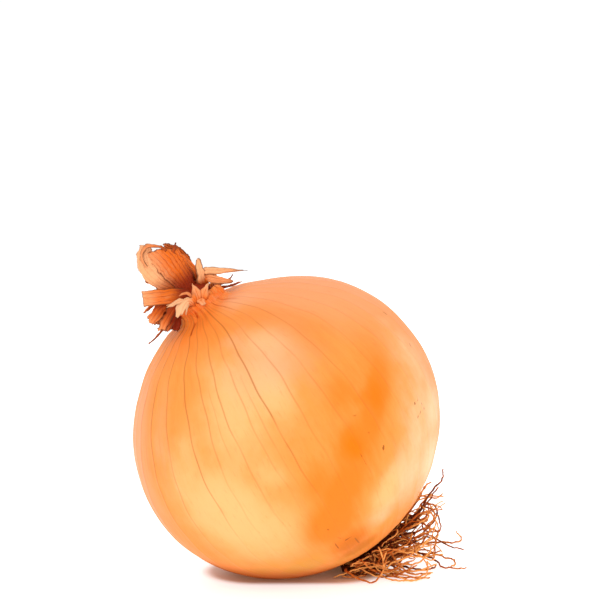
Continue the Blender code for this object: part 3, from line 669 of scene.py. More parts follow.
# %% Marks on the skin
MARKS = (
    # each mark: middle, the way it runs, half length and half width, all in mm, and how strong it is
    # the one in front of the roots
    ((10.8, -40.7, -7.2), (-0.48, 0.02, -0.87), 0.85, 0.45, 0.75),
    # the small ones to the right of it
    ((25.5, -34.0, -4.2), (-0.43, -0.22, -0.88), 0.5, 0.34, 0.8),
    ((26.8, -32.9, -4.0), (-0.56, -0.37, -0.74), 0.8, 0.2, 0.7),
    ((27.4, -32.0, -6.1), (-0.26, 0.01, -0.97), 0.8, 0.22, 0.7),
    ((27.6, -31.5, -7.4), (-0.48, -0.16, -0.86), 0.5, 0.26, 0.6),
    ((25.8, -33.0, -7.3), (-0.71, -0.46, -0.53), 0.9, 0.2, 0.55),
    ((24.5, -33.9, -7.7), (-0.73, -0.29, -0.62), 0.5, 0.3, 0.6),
    ((35.0, -23.6, 6.6), (-0.29, -0.63, -0.72), 0.9, 0.4, 0.4),
    ((34.4, -18.9, 16.5), (0.35, -0.25, -1), 1.0, 0.4, 0.5),
    # faint ones on the front, with a short vein among them
    ((8.1, -41.7, 4.2), (0.91, 0.09, -0.41), 0.6, 0.32, 0.35),
    ((9.1, -41.8, -1.5), (0.82, 0.18, -0.55), 0.45, 0.3, 0.3),
    ((4.5, -41.9, -6.4), (0.03, 0.17, -0.99), 2.5, 0.24, 0.45),
    ((-11.1, -36.7, -18.6), (0.18, 0.45, -0.88), 0.5, 0.34, 0.6),
    # the scar near the roots
    ((-10.4, -32.1, -25.1), (0.18, 0.63, -0.76), 2.3, 0.26, 0.6),
    ((-7.4, -33.1, -24.7), (0.99, -0.15, -0.06), 1.5, 0.24, 0.6),
    ((-4.9, -31.0, -27.5), (0.22, 0.67, -0.70), 2.7, 0.26, 0.5),
    ((-7.7, -33.1, -24.7), (0.86, 0.23, -0.46), 0.6, 0.34, 0.6),
    ((-9.0, -34.1, -23.1), (0.60, 0.41, -0.69), 1.3, 0.2, 0.4),
    # the red patches on the neck
    ((-2.2, -14.8, 36.2), (1, -0.4, 0), 1.3, 0.4, 0.3),
    ((-6.0, -16.6, 35.3), (1, -0.2, 0), 0.8, 0.35, 0.3),
)
SPOT = (0.17, 0.040, 0.001)


# %% Skin colours
GOLD = (0.80, 0.272, 0.052)
# partly a painted highlight
PALE_HIGHLIGHT = (0.81, 0.442, 0.17)
# also laid on in its patch as partly painted shade
ORANGE = (0.80, 0.188, 0.013)
# partly painted rim shade
PINK = (0.82, 0.30, 0.115)
# partly a painted sheen
CREAM_SHEEN = (0.85, 0.565, 0.33)
# partly painted rim shade
ROSE = (0.81, 0.385, 0.205)
AMBER = (0.70, 0.165, 0.001)
# painted shade of the underside
LOW_SHADE = (0.62, 0.275, 0.035)
# a scar colour that also stands for the painted shadow of the roots
SCAR_AND_ROOT_SHADE = (0.52, 0.135, 0.001)
# painted contact shade near the floor
CONTACT_SHADE = (0.30, 0.050, 0.001)
NECK = (0.80, 0.19, 0.024)
VEIN = (0.38, 0.105, 0.018)
# painted shade in the hollows of the neck's wrinkles, and partly in its fold
CREASE_SHADE = (0.42, 0.050, 0.004)
TINTS = (
    # patch, its colour and how much it covers, in the order in which they are laid on
    ("pink", PINK, 0.9), ("cream_sheen", CREAM_SHEEN, 0.95), ("pale", PALE_HIGHLIGHT, 0.95), ("neck", NECK, 0.9),
    ("rosy", ROSE, 0.7), ("orange", ORANGE, 0.95), ("amber", AMBER, 0.9), ("low_shade", LOW_SHADE, 0.85),
    ("scar_and_root_shade", SCAR_AND_ROOT_SHADE, 0.75),
)


def mark_mask(skin, place, rough, mark):
    """1 inside one small mark and 0 outside, with a ragged edge."""
    middle, way, long, wide, strong = mark
    way = Vector(way).normalized()
    apart = place - middle
    ahead, reach = skin.measure("DOT_PRODUCT", apart, way), skin.measure("LENGTH", apart)
    far = (reach**2 - ahead**2 * (1 - (wide / long) ** 2)) ** 0.5
    return (far + (rough - 0.5) * wide * 1.4).step(wide, wide * 0.55) * strong


def skin_finish():
    skin = Recipe("dry_onion_skin")
    grain, place = skin.spot("grain"), skin.spot("place")
    streaks = skin.noise(grain, 1.6, 6.0, 0.6)
    fine = skin.noise(grain, 5.5, 4.0, 0.6)
    blotch = skin.noise(place, 0.09, 3.0, 0.5)
    cloud = skin.noise(place, 0.24, 4.0, 0.55)
    ragged = (streaks - 0.5) * 0.30 + (blotch - 0.5) * 0.42 + (cloud - 0.5) * 0.26
    colour = skin.mix(streaks.step(0.35, 0.7) * 0.35, GOLD, ORANGE)
    for name, tint, cover in TINTS:
        colour = skin.mix((skin.number(name) + ragged).step(0.05, 0.95) * cover, colour, tint)
    colour = skin.mix(fine.step(0.55, 0.75) * 0.18, colour, VEIN)
    strength = skin.number("vein_strength")
    broken = skin.noise(grain, 0.9, 3.0, 0.6).step(0.30, 0.55) * 0.6 + 0.4
    line = skin.number("from_vein").step(0.34, 0.06) * strength * broken
    here_and_there = skin.noise(grain, 0.5).step(0.5, 0.66)
    faint = skin.number("from_middle").step(0.30, 0.05) * strength * here_and_there * 0.5
    colour = skin.mix(line.most(faint) * 0.66, colour, VEIN)
    # painted shade: the hollows of the neck's wrinkles, and partly the fold down its front, turn dark red
    wrinkle_shade = skin.number("gather").step(0.30, 0.95) * fine.step(0.35, 0.6) * 0.7
    fold = skin.number("from_fold").step(0.48, 0.12) * 0.9
    colour = skin.mix(wrinkle_shade.most(fold), colour, CREASE_SHADE)
    rough = skin.noise(place, 1.6, 3.0, 0.6)
    for mark in MARKS:
        colour = skin.mix(mark_mask(skin, place, rough, mark), colour, SPOT)
    # painted contact shade: the skin near the floor turns dark brown
    under = skin.number("under")
    colour = skin.mix(under * 0.9, colour, CONTACT_SHADE)
    return skin.finish(
        Base_Color=colour,
        Roughness=streaks * 0.16 + 0.36 + under * 0.4,
        Specular_IOR_Level=0.08,
        Subsurface_Weight=0.06,
        Subsurface_Radius=(0.006, 0.002, 0.0006),
        Subsurface_Scale=1.0,
        Normal=skin.bump(streaks * 0.6 + fine * 0.4, 0.5),
    )


bulb.data.materials.append(skin_finish())
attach(bulb, "root")
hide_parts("bulb")

# %% [markdown]
# ## Dry leaf ends
#
# Each dry leaf is a thin sheet that follows a middle line out of the neck. Its two edges turn in or out,
# and it has fine ribs along it, a wavy margin and a jagged torn end. One function makes a sheet from a
# short description, so the tuft is a list of leaves. A pleated plug in the middle holds their gathered
# feet.

# %% A leaf, and the grid of its points
from typing import NamedTuple


class Blade(NamedTuple):
    """One dry leaf end or shred, in the onion's own frame and in millimetres."""

    path: tuple  # its middle line, from the foot to the tip
    widths: tuple  # at the foot, half way and at the tip
    faces: tuple  # the way its outer side faces
    cup: float = 0.8  # how far its edges turn inwards, in radians; negative turns them outwards
    torn: float = 0.08  # depth of the torn end, as a share of the length
    ribs: float = 0.12  # height of the folds along it
    wave: float = 0.25  # how far the margins wave
    tone: tuple = (0.9, 0.3, 0.1)  # how dark it is at the foot, half way and at the tip
    pale: tuple = (0.0, 0.1, 0.4)  # how pale it is there
    ragged: float = 0.12  # how far its margins are torn, as a share of the width
    slant: float = 0.0  # by what share of the length the right margin ends before the left one
    faded: float = 0.0  # how much paler its left margin is than its middle


def unit(vectors):
    return vectors / np.linalg.norm(vectors, axis=-1, keepdims=True)


def along_leaf(values, share):
    """From the first value to the second and the third along the leaf."""
    first, middle, last = values
    return first + (middle - first) * smooth(2 * share) + (last - middle) * smooth(2 * share - 1)


def torn_line(rng, along, knot):
    """A line from -0.5 to 0.5 that changes its way at every knot, like a torn margin."""
    return np.interp(along / knot, np.arange(60), rng.random(60)) - 0.5


FOLD_WIDTH = 0.62  # of one rib, in millimetres
LEAF_STEP = 0.4  # between two rows of points
NO_MARGIN = 2.0  # a distance that stands for no margin near


def leaf_grid(blade, seed):
    """Points on the middle of the sheet, the way each one faces, and the numbers for the finish."""
    rng = np.random.default_rng(seed)
    length = float(np.linalg.norm(np.diff(np.array(blade.path), axis=0), axis=1).sum())
    folds = max(3, round(max(blade.widths) / FOLD_WIDTH))
    rows, columns = max(16, round(length / LEAF_STEP)), folds * 6
    side = np.linspace(-1.0, 1.0, columns + 1)[None, :]
    place = side * max(blade.widths) / 2
    from_edge = place[0] - place[0, 0]
    jag = torn_line(rng, from_edge, 0.9) + 0.6 * torn_line(rng, from_edge, 0.3) + 0.8
    reach = 1.0 - blade.torn * 0.6 * jag - blade.slant * (1 - side[0]) / 2
    share = np.linspace(0.0, 1.0, rows + 1)[:, None] * reach[None, :]
    middle = along_path(blade.path, share)
    along = unit(along_path(blade.path, share + 0.01) - along_path(blade.path, share - 0.01))
    out = np.array(blade.faces, float)
    out = unit(out - along * (along @ out)[..., None])
    across = np.cross(out, along)
    torn = [torn_line(rng, share * length, 1.1) + 0.5 * torn_line(rng, share * length, 0.45) for _ in (0, 1)]
    half = along_leaf(blade.widths, share) / 2 * (1 + 2 * blade.ragged * np.where(side < 0, *torn))
    turn = blade.cup * side
    point = middle + across * (half * np.sin(turn) / blade.cup)[..., None]
    point = point - out * (half * (1 - np.cos(turn)) / blade.cup)[..., None]
    normal = unit(out * np.cos(turn)[..., None] + across * np.sin(turn)[..., None])
    flat = np.stack([side * half, share * length, 0 * half], -1)
    bend = 0.3 * waver(seed + 1, share * length * 0.2) + 0.14 * soft_noise(flat, 3.5, seed + 5)
    fold = np.abs(np.sin(math.pi / 2 * (side * folds * 0.5 + bend)))
    lift = blade.ribs * (fold - 0.6) * smooth(share * 4)
    lift = lift + 0.22 * soft_noise(flat, 4.0, seed) * smooth(share * 3)
    lift = lift + blade.wave * side**2 * waver(seed + 2, share * length * 0.7 + 2 * np.sign(side))
    lift = lift * smooth(share * 5)
    numbers = {
        "tone": along_leaf(blade.tone, share),
        "pale": along_leaf(blade.pale, share) + blade.faded * side,
        "fold": fold,
        "margin": np.minimum((1 - np.abs(side)) * half, (1 - share / share[-1:]) * length + 0 * half),
        "strand": np.stack([place + seed * 3.7 + 0 * half, share * length * 0.12, 0 * half], -1),
    }
    return point + normal * lift[..., None], normal, numbers


def thin_sheet(blade, seed, thickness):
    """Points, faces and numbers of a closed thin sheet."""
    middle, normal, numbers = leaf_grid(blade, seed)
    rows, columns = middle.shape[:2]
    count = rows * columns
    thin = thickness * (0.35 + 0.65 * smooth(numbers["margin"] / 0.8))[..., None]
    points = np.concatenate([(middle + way * normal * thin / 2).reshape(-1, 3) for way in (1, -1)])
    at = np.arange(count).reshape(rows, columns)
    quads = np.stack([at[:-1, :-1], at[:-1, 1:], at[1:, 1:], at[1:, :-1]], -1).reshape(-1, 4)
    rim = np.concatenate([at[0], at[1:, -1], at[-1, -2::-1], at[-2:0:-1, 0]])
    after = np.roll(rim, -1)
    edge = np.stack([after, rim, rim + count, after + count], 1)
    faces = np.concatenate([quads, quads[:, ::-1] + count, edge])
    doubled = {key: np.concatenate([v.reshape(count, -1)] * 2).squeeze() for key, v in numbers.items()}
    return points, faces, doubled


def joined(parts):
    """Several (points, faces, numbers) as one."""
    faces, start = [], 0
    for points, flat, _ in parts:
        faces += [[int(i) + start for i in face] for face in flat]
        start += len(points)
    numbers = {key: np.concatenate([extra[key] for *_, extra in parts]) for key in parts[0][2]}
    return np.concatenate([points for points, *_ in parts]), faces, numbers


# %% The leaves of the tuft
LEAF_THICK, LEAF_SEED = 0.22, 50
LEAVES = (
    # the upright pleated one
    Blade(((-5.0, -2.4, 45.6), (-5.4, -3.4, 52.0), (-6.0, -3.4, 57.0), (-7.2, -1.6, 62.2)),
        (6, 9.2, 9.4), (0.15, -1, 0), 0.8, 0.04, 0.26, 0.3, (1.1, 0.3, 0.15), (0, 0.1, 0.25), 0.05, 0.3, 0.5),
    # the one that curls over to the left, beside it
    Blade(((-6.5, -1.2, 46.6), (-10.8, -2.0, 51.4), (-12.6, -2.2, 56.6),
        (-11.4, -1.6, 60.6), (-8.9, -0.6, 62.4)),
        (3.6, 6.6, 4.4), (-0.45, -0.9, 0.1), 1.25, 0.05, 0.05, 0.25, (0.8, 0.0, 0.1), (0.1, 1.0, 0.8), 0.05),
    # its rolled rim, and a small end beside it
    Blade(((-12.4, -3.4, 57.8), (-12.2, -3.2, 60.8), (-9.6, -2.6, 62.4),
        (-6.6, -2.8, 60.6), (-5.6, -3.2, 58.6)),
        (1.0, 1.3, 0.9), (-0.3, -0.9, 0.3), 1.2, 0.05, 0.05, 0.2, (0.0, 0.2, 0.6), (0.6, 0.5, 0.1), 0.2),
    Blade(((-5.2, -2.6, 55.0), (-3.8, -3.0, 57.8), (-2.2, -3.2, 59.4)),
        (1.6, 1.3, 0.5), (0.1, -0.9, 0.1), 0.9, 0.05, 0.1, 0.2, (0.4, 0.6, 1.0), (0, 0, 0), 0.2),
    # the wide one with a straight cut end
    Blade(((-5.6, -3.4, 45.6), (-12.0, -5.2, 48.8), (-17.7, -4.8, 51.4)),
        (3.4, 4.6, 4.5), (0.1, -0.85, 0.35), 0.45, 0.03, 0.16, 0.1, (1.1, 0.3, 0.0), (0, 0.2, 0.65), 0.03),
    # the dark ones that point down and left
    Blade(((-6.6, -2.2, 45.6), (-13.6, -3.8, 46.8), (-19.4, -3.6, 44.6)),
        (3.0, 4.2, 3.2), (-0.1, -0.85, 0.5), 0.9, 0.16, 0.26, 0.4, (1.3, 0.7, 0.0), (0, 0, 0.5), 0.14),
    Blade(((-6.8, -3.2, 45.2), (-13.0, -5.6, 44.6), (-18.4, -5.0, 41.2)),
        (2.4, 2.8, 2.2), (-0.3, -0.9, 0.3), 1.0, 0.16, 0.26, 0.4, (1.3, 0.7, 0.0), (0, 0, 0.6), 0.16),
    Blade(((-6.8, -2.2, 45.0), (-12.5, -4.6, 43.5), (-17.2, -4.2, 40.4)),
        (2.4, 3.0, 1.8), (-0.3, -0.85, 0.4), 1.0, 0.16, 0.24, 0.4, (1.3, 1.1, 0.1), (0, 0, 0.4), 0.16),
    Blade(((-6.4, 0.4, 45.6), (-12.4, -0.6, 45.6), (-18.2, -1.6, 43.0)),
        (3.2, 4.8, 3.4), (-0.2, -0.7, 0.7), 0.8, 0.16, 0.26, 0.4, (1.1, 0.9, 0.4), (0, 0.1, 0.3), 0.14),
    Blade(((-6.8, -0.8, 44.6), (-11.6, -2.2, 43.2), (-15.0, -2.2, 39.6)),
        (3.6, 5.0, 4.0), (-0.4, -0.8, 0.4), 0.7, 0.14, 0.26, 0.3, (1.2, 1.2, 0.9), (0, 0, 0.0), 0.12),
    # a thread that hangs from them
    Blade(((-14.0, -4.0, 42.6), (-18.4, -3.4, 40.8), (-22.0, -3.0, 39.9)),
        (1.0, 0.7, 0.3), (-0.3, -0.9, 0.3), 0.4, 0.0, 0.02, 0.2, (0.6, 0.5, 0.5), (0, 0.1, 0.2)),
    # those behind
    Blade(((-3.4, 2.4, 44.8), (-3, 4.2, 51), (-4, 5, 56), (-6.0, 4.4, 59.2)),
        (6.6, 8.4, 5.5), (0.1, 1, 0.1), 0.9, 0.14, 0.28, 0.3, (0.9, 0.3, 0.2), (0, 0.1, 0.4)),
    Blade(((-0.9, 0.6, 44.8), (-0.2, 1.0, 50), (-1.2, 1.2, 54.0), (-2.8, 0.8, 56.8)),
        (4.6, 5.6, 2.6), (1, -0.3, 0.3), 0.9, 0.14, 0.22, 0.3, (0.9, 0.3, 0.3), (0, 0.1, 0.4)),
    Blade(((-7.0, 2.4, 45.2), (-10.6, 4, 50.4), (-13.0, 4.6, 55.0)),
        (4.6, 5.6, 3.0), (-0.7, 0.6, 0.3), 0.9, 0.14, 0.2, 0.3, (0.9, 0.3, 0.2), (0, 0.4, 0.6)),
    Blade(((-6.8, 2.6, 45.4), (-12.6, 5.6, 47.6), (-18, 7, 46)),
        (3.2, 3.8, 1.8), (-0.4, 0.4, 0.9), 0.8, 0.16, 0.2, 0.3, (0.9, 0.5, 0.3), (0, 0.1, 0.4)),
    Blade(((-4.6, 3.2, 45.4), (-5.4, 9, 48.2), (-6.4, 13.4, 45.4)),
        (3.2, 4.0, 1.6), (0.1, 0.4, 0.9), 0.8, 0.16, 0.2, 0.3, (0.9, 0.5, 0.2), (0, 0.2, 0.5)),
    # the one that lies over the shoulder to the right
    Blade(((-2.0, -1.0, 45.4), (0.4, -2.6, 47.2), (3.4, -2.8, 44.6), (6.6, -2.2, 41.9)),
        (4.2, 3.5, 0.6), (0.35, -0.75, 0.55), 0.6, 0.14, 0.22, 0.25, (0.8, 0.1, 0.4), (0, 0.5, 0.6), 0.14),
    # two thin ends beside it
    Blade(((1.4, -0.6, 43.8), (5.0, -0.4, 43.0), (7.6, -0.2, 43.6)),
        (1.6, 0.9, 0.2), (0.3, -0.6, 0.7), 0.5, 0.0, 0.1, 0.15, (0.8, 0.2, 0.5), (0, 0.4, 0.5), 0.14),
    Blade(((1.0, -1.6, 43.2), (4.8, -3.0, 41.9), (8.2, -3.2, 41.2)),
        (1.6, 0.8, 0.2), (0.3, -0.7, 0.6), 0.5, 0.0, 0.1, 0.15, (1.0, 0.8, 0.5), (0, 0.1, 0.4), 0.14),
    Blade(((-2, 2.6, 45.2), (1.2, 6.4, 47), (3.6, 10.2, 44.4)),
        (2.8, 3.0, 0.8), (0.4, 0.4, 0.85), 0.7, 0.1, 0.14, 0.2, (0.8, 0.3, 0.3), (0.1, 0.4, 0.4)),
    # the pale upright one and the long pointed one above the shoulder
    Blade(((-1.4, -1.8, 45.0), (-0.5, -3.6, 49.4), (0.9, -3.6, 53.3)),
        (2.2, 3.0, 0.9), (0.2, -1, 0), 0.6, 0.2, 0.08, 0.15, (0.8, 0, 0), (0.0, 1.0, 1.1), 0.3),
    Blade(((-1.2, -1.6, 45.2), (0.4, -2.8, 48.8), (5.2, -2.0, 46.4), (11.9, 0.4, 42.4)),
        (1.2, 2.4, 0.2), (0.4, -0.9, 0.3), 0.6, 0.0, 0.08, 0.1, (0.8, 0.0, 0.3), (0.0, 0.9, 0.7), 0.05),
)
BUNDLE = ((5.2, 43.6), (5.2, 44.6), (4.6, 45.8), (3.2, 46.8), (1.6, 47.3))  # radius, height


def bundle_core():
    """The gathered feet of the leaves: a pleated, pointed plug in the middle of the neck."""
    radius, height, turn = turned(BUNDLE, 16, 96)
    pleats = 0.35 * np.abs(np.sin(8.5 * turn + 0.25 * height)) + 0.15 * np.sin(23 * turn)
    radius = radius * (1 + 0.04 * np.sin(3 * turn)) - pleats
    shift = neck_shift(NECK_TOP)
    ends = [[shift, 0, BUNDLE[0][1]], [shift, 0, BUNDLE[-1][1] + 0.5]]
    points, faces = closed_rings(around(radius, height, turn, shift), ends)
    numbers = {
        # the plug is painted dark all over, as shade among the feet of the leaves
        "tone": np.ones(len(points)),
        "pale": np.zeros(len(points)),
        "fold": np.ones(len(points)),
        "margin": np.full(len(points), NO_MARGIN),
        "strand": points * (1, 1, 0.12),
    }
    return points, faces, numbers


def make_leaves():
    parts = [bundle_core()]
    parts += [thin_sheet(blade, LEAF_SEED + i, LEAF_THICK) for i, blade in enumerate(LEAVES)]
    return as_piece("dry_leaves", *joined(parts))


leaves = make_leaves()

# %% [markdown]
# ## The finish of the leaves
#
# The dry leaves are dark red-brown where they leave the neck, which is partly painted shade in the gaps
# between their feet, orange-brown along their length, and pale where they are thinnest. Fine fibres run
# along them, and their margins are scorched brown.

# %% Leaf colours
LEAF = (0.69, 0.125, 0.003)
# partly painted shade where the leaves crowd at the neck
LEAF_DARK_AND_SHADE = (0.24, 0.018, 0.001)
LEAF_LINE = (0.26, 0.024, 0.001)
LEAF_PALE = (0.80, 0.37, 0.165)
SCORCH = (0.12, 0.035, 0.012)


def paper_finish(name, body, dark, pale, line, edge):
    """Dry, fibrous, papery skin that the numbers tone and pale change from darkest to palest."""
    paper = Recipe(name)
    strand = paper.spot("strand")
    fibres = paper.noise(strand, 2.2, 5.0, 0.65)
    threads = paper.noise(strand, 6.0, 3.0, 0.6)
    colour = paper.mix(fibres.step(0.42, 0.70) * 0.25, body, pale)
    colour = paper.mix((paper.number("pale") + (fibres - 0.5) * 0.5).step(0.1, 0.9), colour, pale)
    # tone darkens towards the dark colour; at the feet of the leaves this is partly painted shade
    colour = paper.mix((paper.number("tone") + (fibres - 0.5) * 0.7).step(0.15, 0.95), colour, dark)
    cloud = paper.noise(paper.spot("place"), 0.35, 3.0)
    crease = (paper.number("fold") + (threads - 0.5) * 0.8).step(0.34, 0.03)
    crease = crease * (cloud.step(0.35, 0.6) * 0.5 + 0.5)
    lines = crease.most(threads.step(0.55, 0.70) * 0.55) * (0.85 - 0.5 * paper.number("pale"))
    colour = paper.mix(lines, colour, line)
    rim = paper.number("margin").step(0.50, 0.08) * paper.noise(strand, 0.8).step(0.30, 0.55) * edge
    colour = paper.mix(rim, colour, SCORCH)
    return paper.finish(
        Base_Color=colour,
        Roughness=fibres * 0.2 + 0.5,
        Specular_IOR_Level=0.14,
        Normal=paper.bump(fibres * 0.6 + threads * 0.4, 0.7),
    )


leaves.data.materials.append(paper_finish("dry_leaf", LEAF, LEAF_DARK_AND_SHADE, LEAF_PALE, LEAF_LINE, 0.85))
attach(leaves, "root")
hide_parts("neck_leaves")

# %% [markdown]
# ## Torn skin
#
# The outermost skin has worn off the bulb and is left as a ragged collar round the neck, from which pale
# shreds stand off. The collar is a thin ring with a torn upper margin, and the shreds are sheets like the
# leaves.

# %% The collar and its shreds
SHRED_THICK, SHRED_SEED, COLLAR_SEED = 0.16, 80, 8
COLLAR = ((7.10, 40.9), (7.30, 41.8), (7.26, 43.0), (6.9, 44.6))  # radius, height
COLLAR_RADIUS = 7.3
COLLAR_LAYERS = (0.10, 0.10 - 0.14)  # its outer and its inner side stand this far off that outline
SHREDS_FROM = 42.7  # height at which the shreds leave the collar
SHREDS = (
    # the broad ragged one, the narrow one beside it and a thin pinkish one above them
    Blade(((-6.6, -6.2, 43.2), (-8.4, -8.4, 45.2), (-12.8, -9.4, 42.6)),
        (0.8, 2.6, 3.6), (-0.1, -0.9, 0.4), 0.35, 0.42, 0.16, 0.3, (0.5, 0.1, 0), (0.1, 0.7, 1), 0.34),
    Blade(((-7.2, -5.8, 43.2), (-9.2, -8.0, 46.0), (-14.6, -8.6, 46.6)),
        (0.6, 1.3, 1.8), (0.1, -0.9, 0.4), 0.3, 0.34, 0.12, 0.2, (0.5, 0, 0), (0.1, 0.7, 1), 0.34),
    Blade(((-6.0, -6.4, 43.2), (-7.0, -7.2, 46.8), (-9.6, -7.6, 47.5)),
        (0.8, 0.8, 0.3), (0.1, -0.9, 0.5), 0.3, 0.1, 0.05, 0.1, (0.6, 0.3, 0.2), (0, 0.4, 0.4), 0.2),
    # the small star-shaped ones
    Blade(((-5.2, -6.6, 43.2), (-4.8, -7.4, 45.6), (-4.6, -7.2, 48.4)),
        (1.5, 2.7, 0.1), (0, -1, 0.1), 0.5, 0.0, 0.12, 0.3, (0.7, 0.1, 0), (0, 0.4, 0.7), 0.34),
    Blade(((-4.4, -6.6, 43.2), (-3.0, -7.8, 44.8), (-0.8, -7.4, 46.3)),
        (1.5, 1.8, 0.1), (-0.3, -1, 0.1), 0.5, 0.0, 0.12, 0.3, (0.7, 0.1, 0), (0, 0.4, 0.8), 0.34),
    Blade(((-3.4, -6.3, 43.2), (-2.6, -7.5, 43.9), (-1.5, -7.6, 44.3)),
        (0.7, 0.9, 0.1), (0, -1, 0.1), 0.5, 0.0, 0.12, 0.2, (0.7, 0.2, 0.3), (0, 0.3, 0.6), 0.34),
    Blade(((-4.8, -6.5, 43.4), (-4.9, -8.1, 43.5), (-4.9, -8.6, 41.8)),
        (1.0, 1.9, 1.3), (0, -0.8, 0.6), 0.5, 0.2, 0.12, 0.2, (0.5, 0, 0), (0, 0.4, 0.7), 0.34),
    Blade(((-5.6, -6.5, 43.4), (-6.2, -7.8, 44.6), (-5.6, -8.2, 46.6)),
        (0.8, 1.4, 0.2), (0, -0.9, 0.3), 0.5, 0.1, 0.1, 0.2, (0.8, 0.4, 0.1), (0, 0.2, 0.5), 0.3),
    # those behind
    Blade(((-0.6, 5.4, 43.2), (0.6, 7.6, 45.2), (2.6, 10.4, 43.4)),
        (2.4, 2.8, 1.4), (0.4, 0.6, 0.7), 0.4, 0.2, 0.08, 0.2, (0.3, 0, 0), (0.4, 1, 1), 0.2),
    Blade(((-7.6, 5.4, 43.2), (-9.8, 8.2, 44.6), (-12.4, 10.8, 42)),
        (2.4, 3.0, 1.6), (-0.4, 0.6, 0.7), 0.4, 0.2, 0.08, 0.2, (0.3, 0, 0), (0.4, 1, 1), 0.2),
    Blade(((-10.6, 2, 43.2), (-13, 2.6, 44.2), (-15.6, 3.2, 41.4)),
        (2.0, 2.4, 1.4), (-0.6, 0.2, 0.7), 0.4, 0.2, 0.08, 0.2, (0.3, 0, 0), (0.4, 1, 1), 0.2),
)


def torn_collar():
    """A thin pleated ring round the neck with a ragged upper margin, in the same folds as the skin below."""
    rows, columns = 16, turns.shape[1]
    turn = np.radians(turns[-1])[None, :]
    rng = np.random.default_rng(COLLAR_SEED)
    ragged = np.interp(turns[-1] % 360, np.linspace(0, 360, 45), rng.random(45)) * 0.55
    share = np.linspace(0, 1, rows)[:, None] * (1 - ragged)[None, :]
    line = along_path(COLLAR, share)
    radius, height = line[..., 0], line[..., 1]
    neck_gap = COLLAR_RADIUS * np.radians(gaps[left_vein])[None, :]
    relief = skin_relief(radius, height, turn, vein_share[None, :], neck_gap, around(radius, height, turn))
    layers = [around(radius + relief + layer, height, turn, neck_shift(height)) for layer in COLLAR_LAYERS]
    points = np.concatenate([layer.reshape(-1, 3) for layer in layers])
    count = rows * columns
    inner = (np.array(ring_faces(rows, columns)) + count)[:, ::-1]
    first, last = np.arange(columns), np.arange(columns) + count - columns
    ends = [np.stack([e, np.roll(e, -1), np.roll(e, -1) + count, e + count], 1) for e in (first, last)]
    faces = np.concatenate([ring_faces(rows, columns), inner, *ends]).tolist()
    angle = np.arctan2(points[:, 1], points[:, 0] - neck_shift(points[:, 2]))
    numbers = {
        "tone": np.tile(smooth(share * 2.0 - 1.0).ravel(), 2) * 0.9,
        "pale": 0.5 * np.exp(-(((np.degrees(angle) + 62.0) / 30.0) ** 2)) * (1.0 - np.tile(share.ravel(), 2)),
        "fold": np.ones(2 * count),
        "margin": np.full(2 * count, NO_MARGIN),
        "strand": np.stack([9 * np.cos(angle), 9 * np.sin(angle), points[:, 2] * 0.12], 1),
    }
    return points, faces, numbers


def on_collar(point):
    """The place on the wall of the collar beside this point."""
    middle = np.array([float(neck_shift(SHREDS_FROM)), 0.0, SHREDS_FROM])
    beside = (np.array(point, float) - middle) * (1, 1, 0)
    return tuple(middle + beside / np.linalg.norm(beside) * COLLAR_RADIUS)


def make_torn_skin():
    rooted = [shred._replace(path=(on_collar(shred.path[0]), *shred.path[1:])) for shred in SHREDS]
    sheets = [thin_sheet(shred, SHRED_SEED + i, SHRED_THICK) for i, shred in enumerate(rooted)]
    return as_piece("torn_outer_skin", *joined([torn_collar(), *sheets]))


torn_skin = make_torn_skin()
TORN = (0.78, 0.17, 0.018)
TORN_DARK = (0.40, 0.055, 0.005)
TORN_PALE = (0.77, 0.41, 0.205)
TORN_LINE = (0.40, 0.06, 0.008)
torn_skin.data.materials.append(paper_finish("torn_skin", TORN, TORN_DARK, TORN_PALE, TORN_LINE, 0.3))
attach(torn_skin, "root")
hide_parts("torn_skin")

# %% [markdown]
# ## Roots
#
# Dry onion roots are wiry and tangled, thinner than a match and kinked. Those that stand out were placed
# one by one, and the others spring from the root plate by a seeded rule: each one walks on in small steps
# that keep clear of the bulb and of the floor. Finer hairs fill the tangle. All of them are tubes on their
# walk.

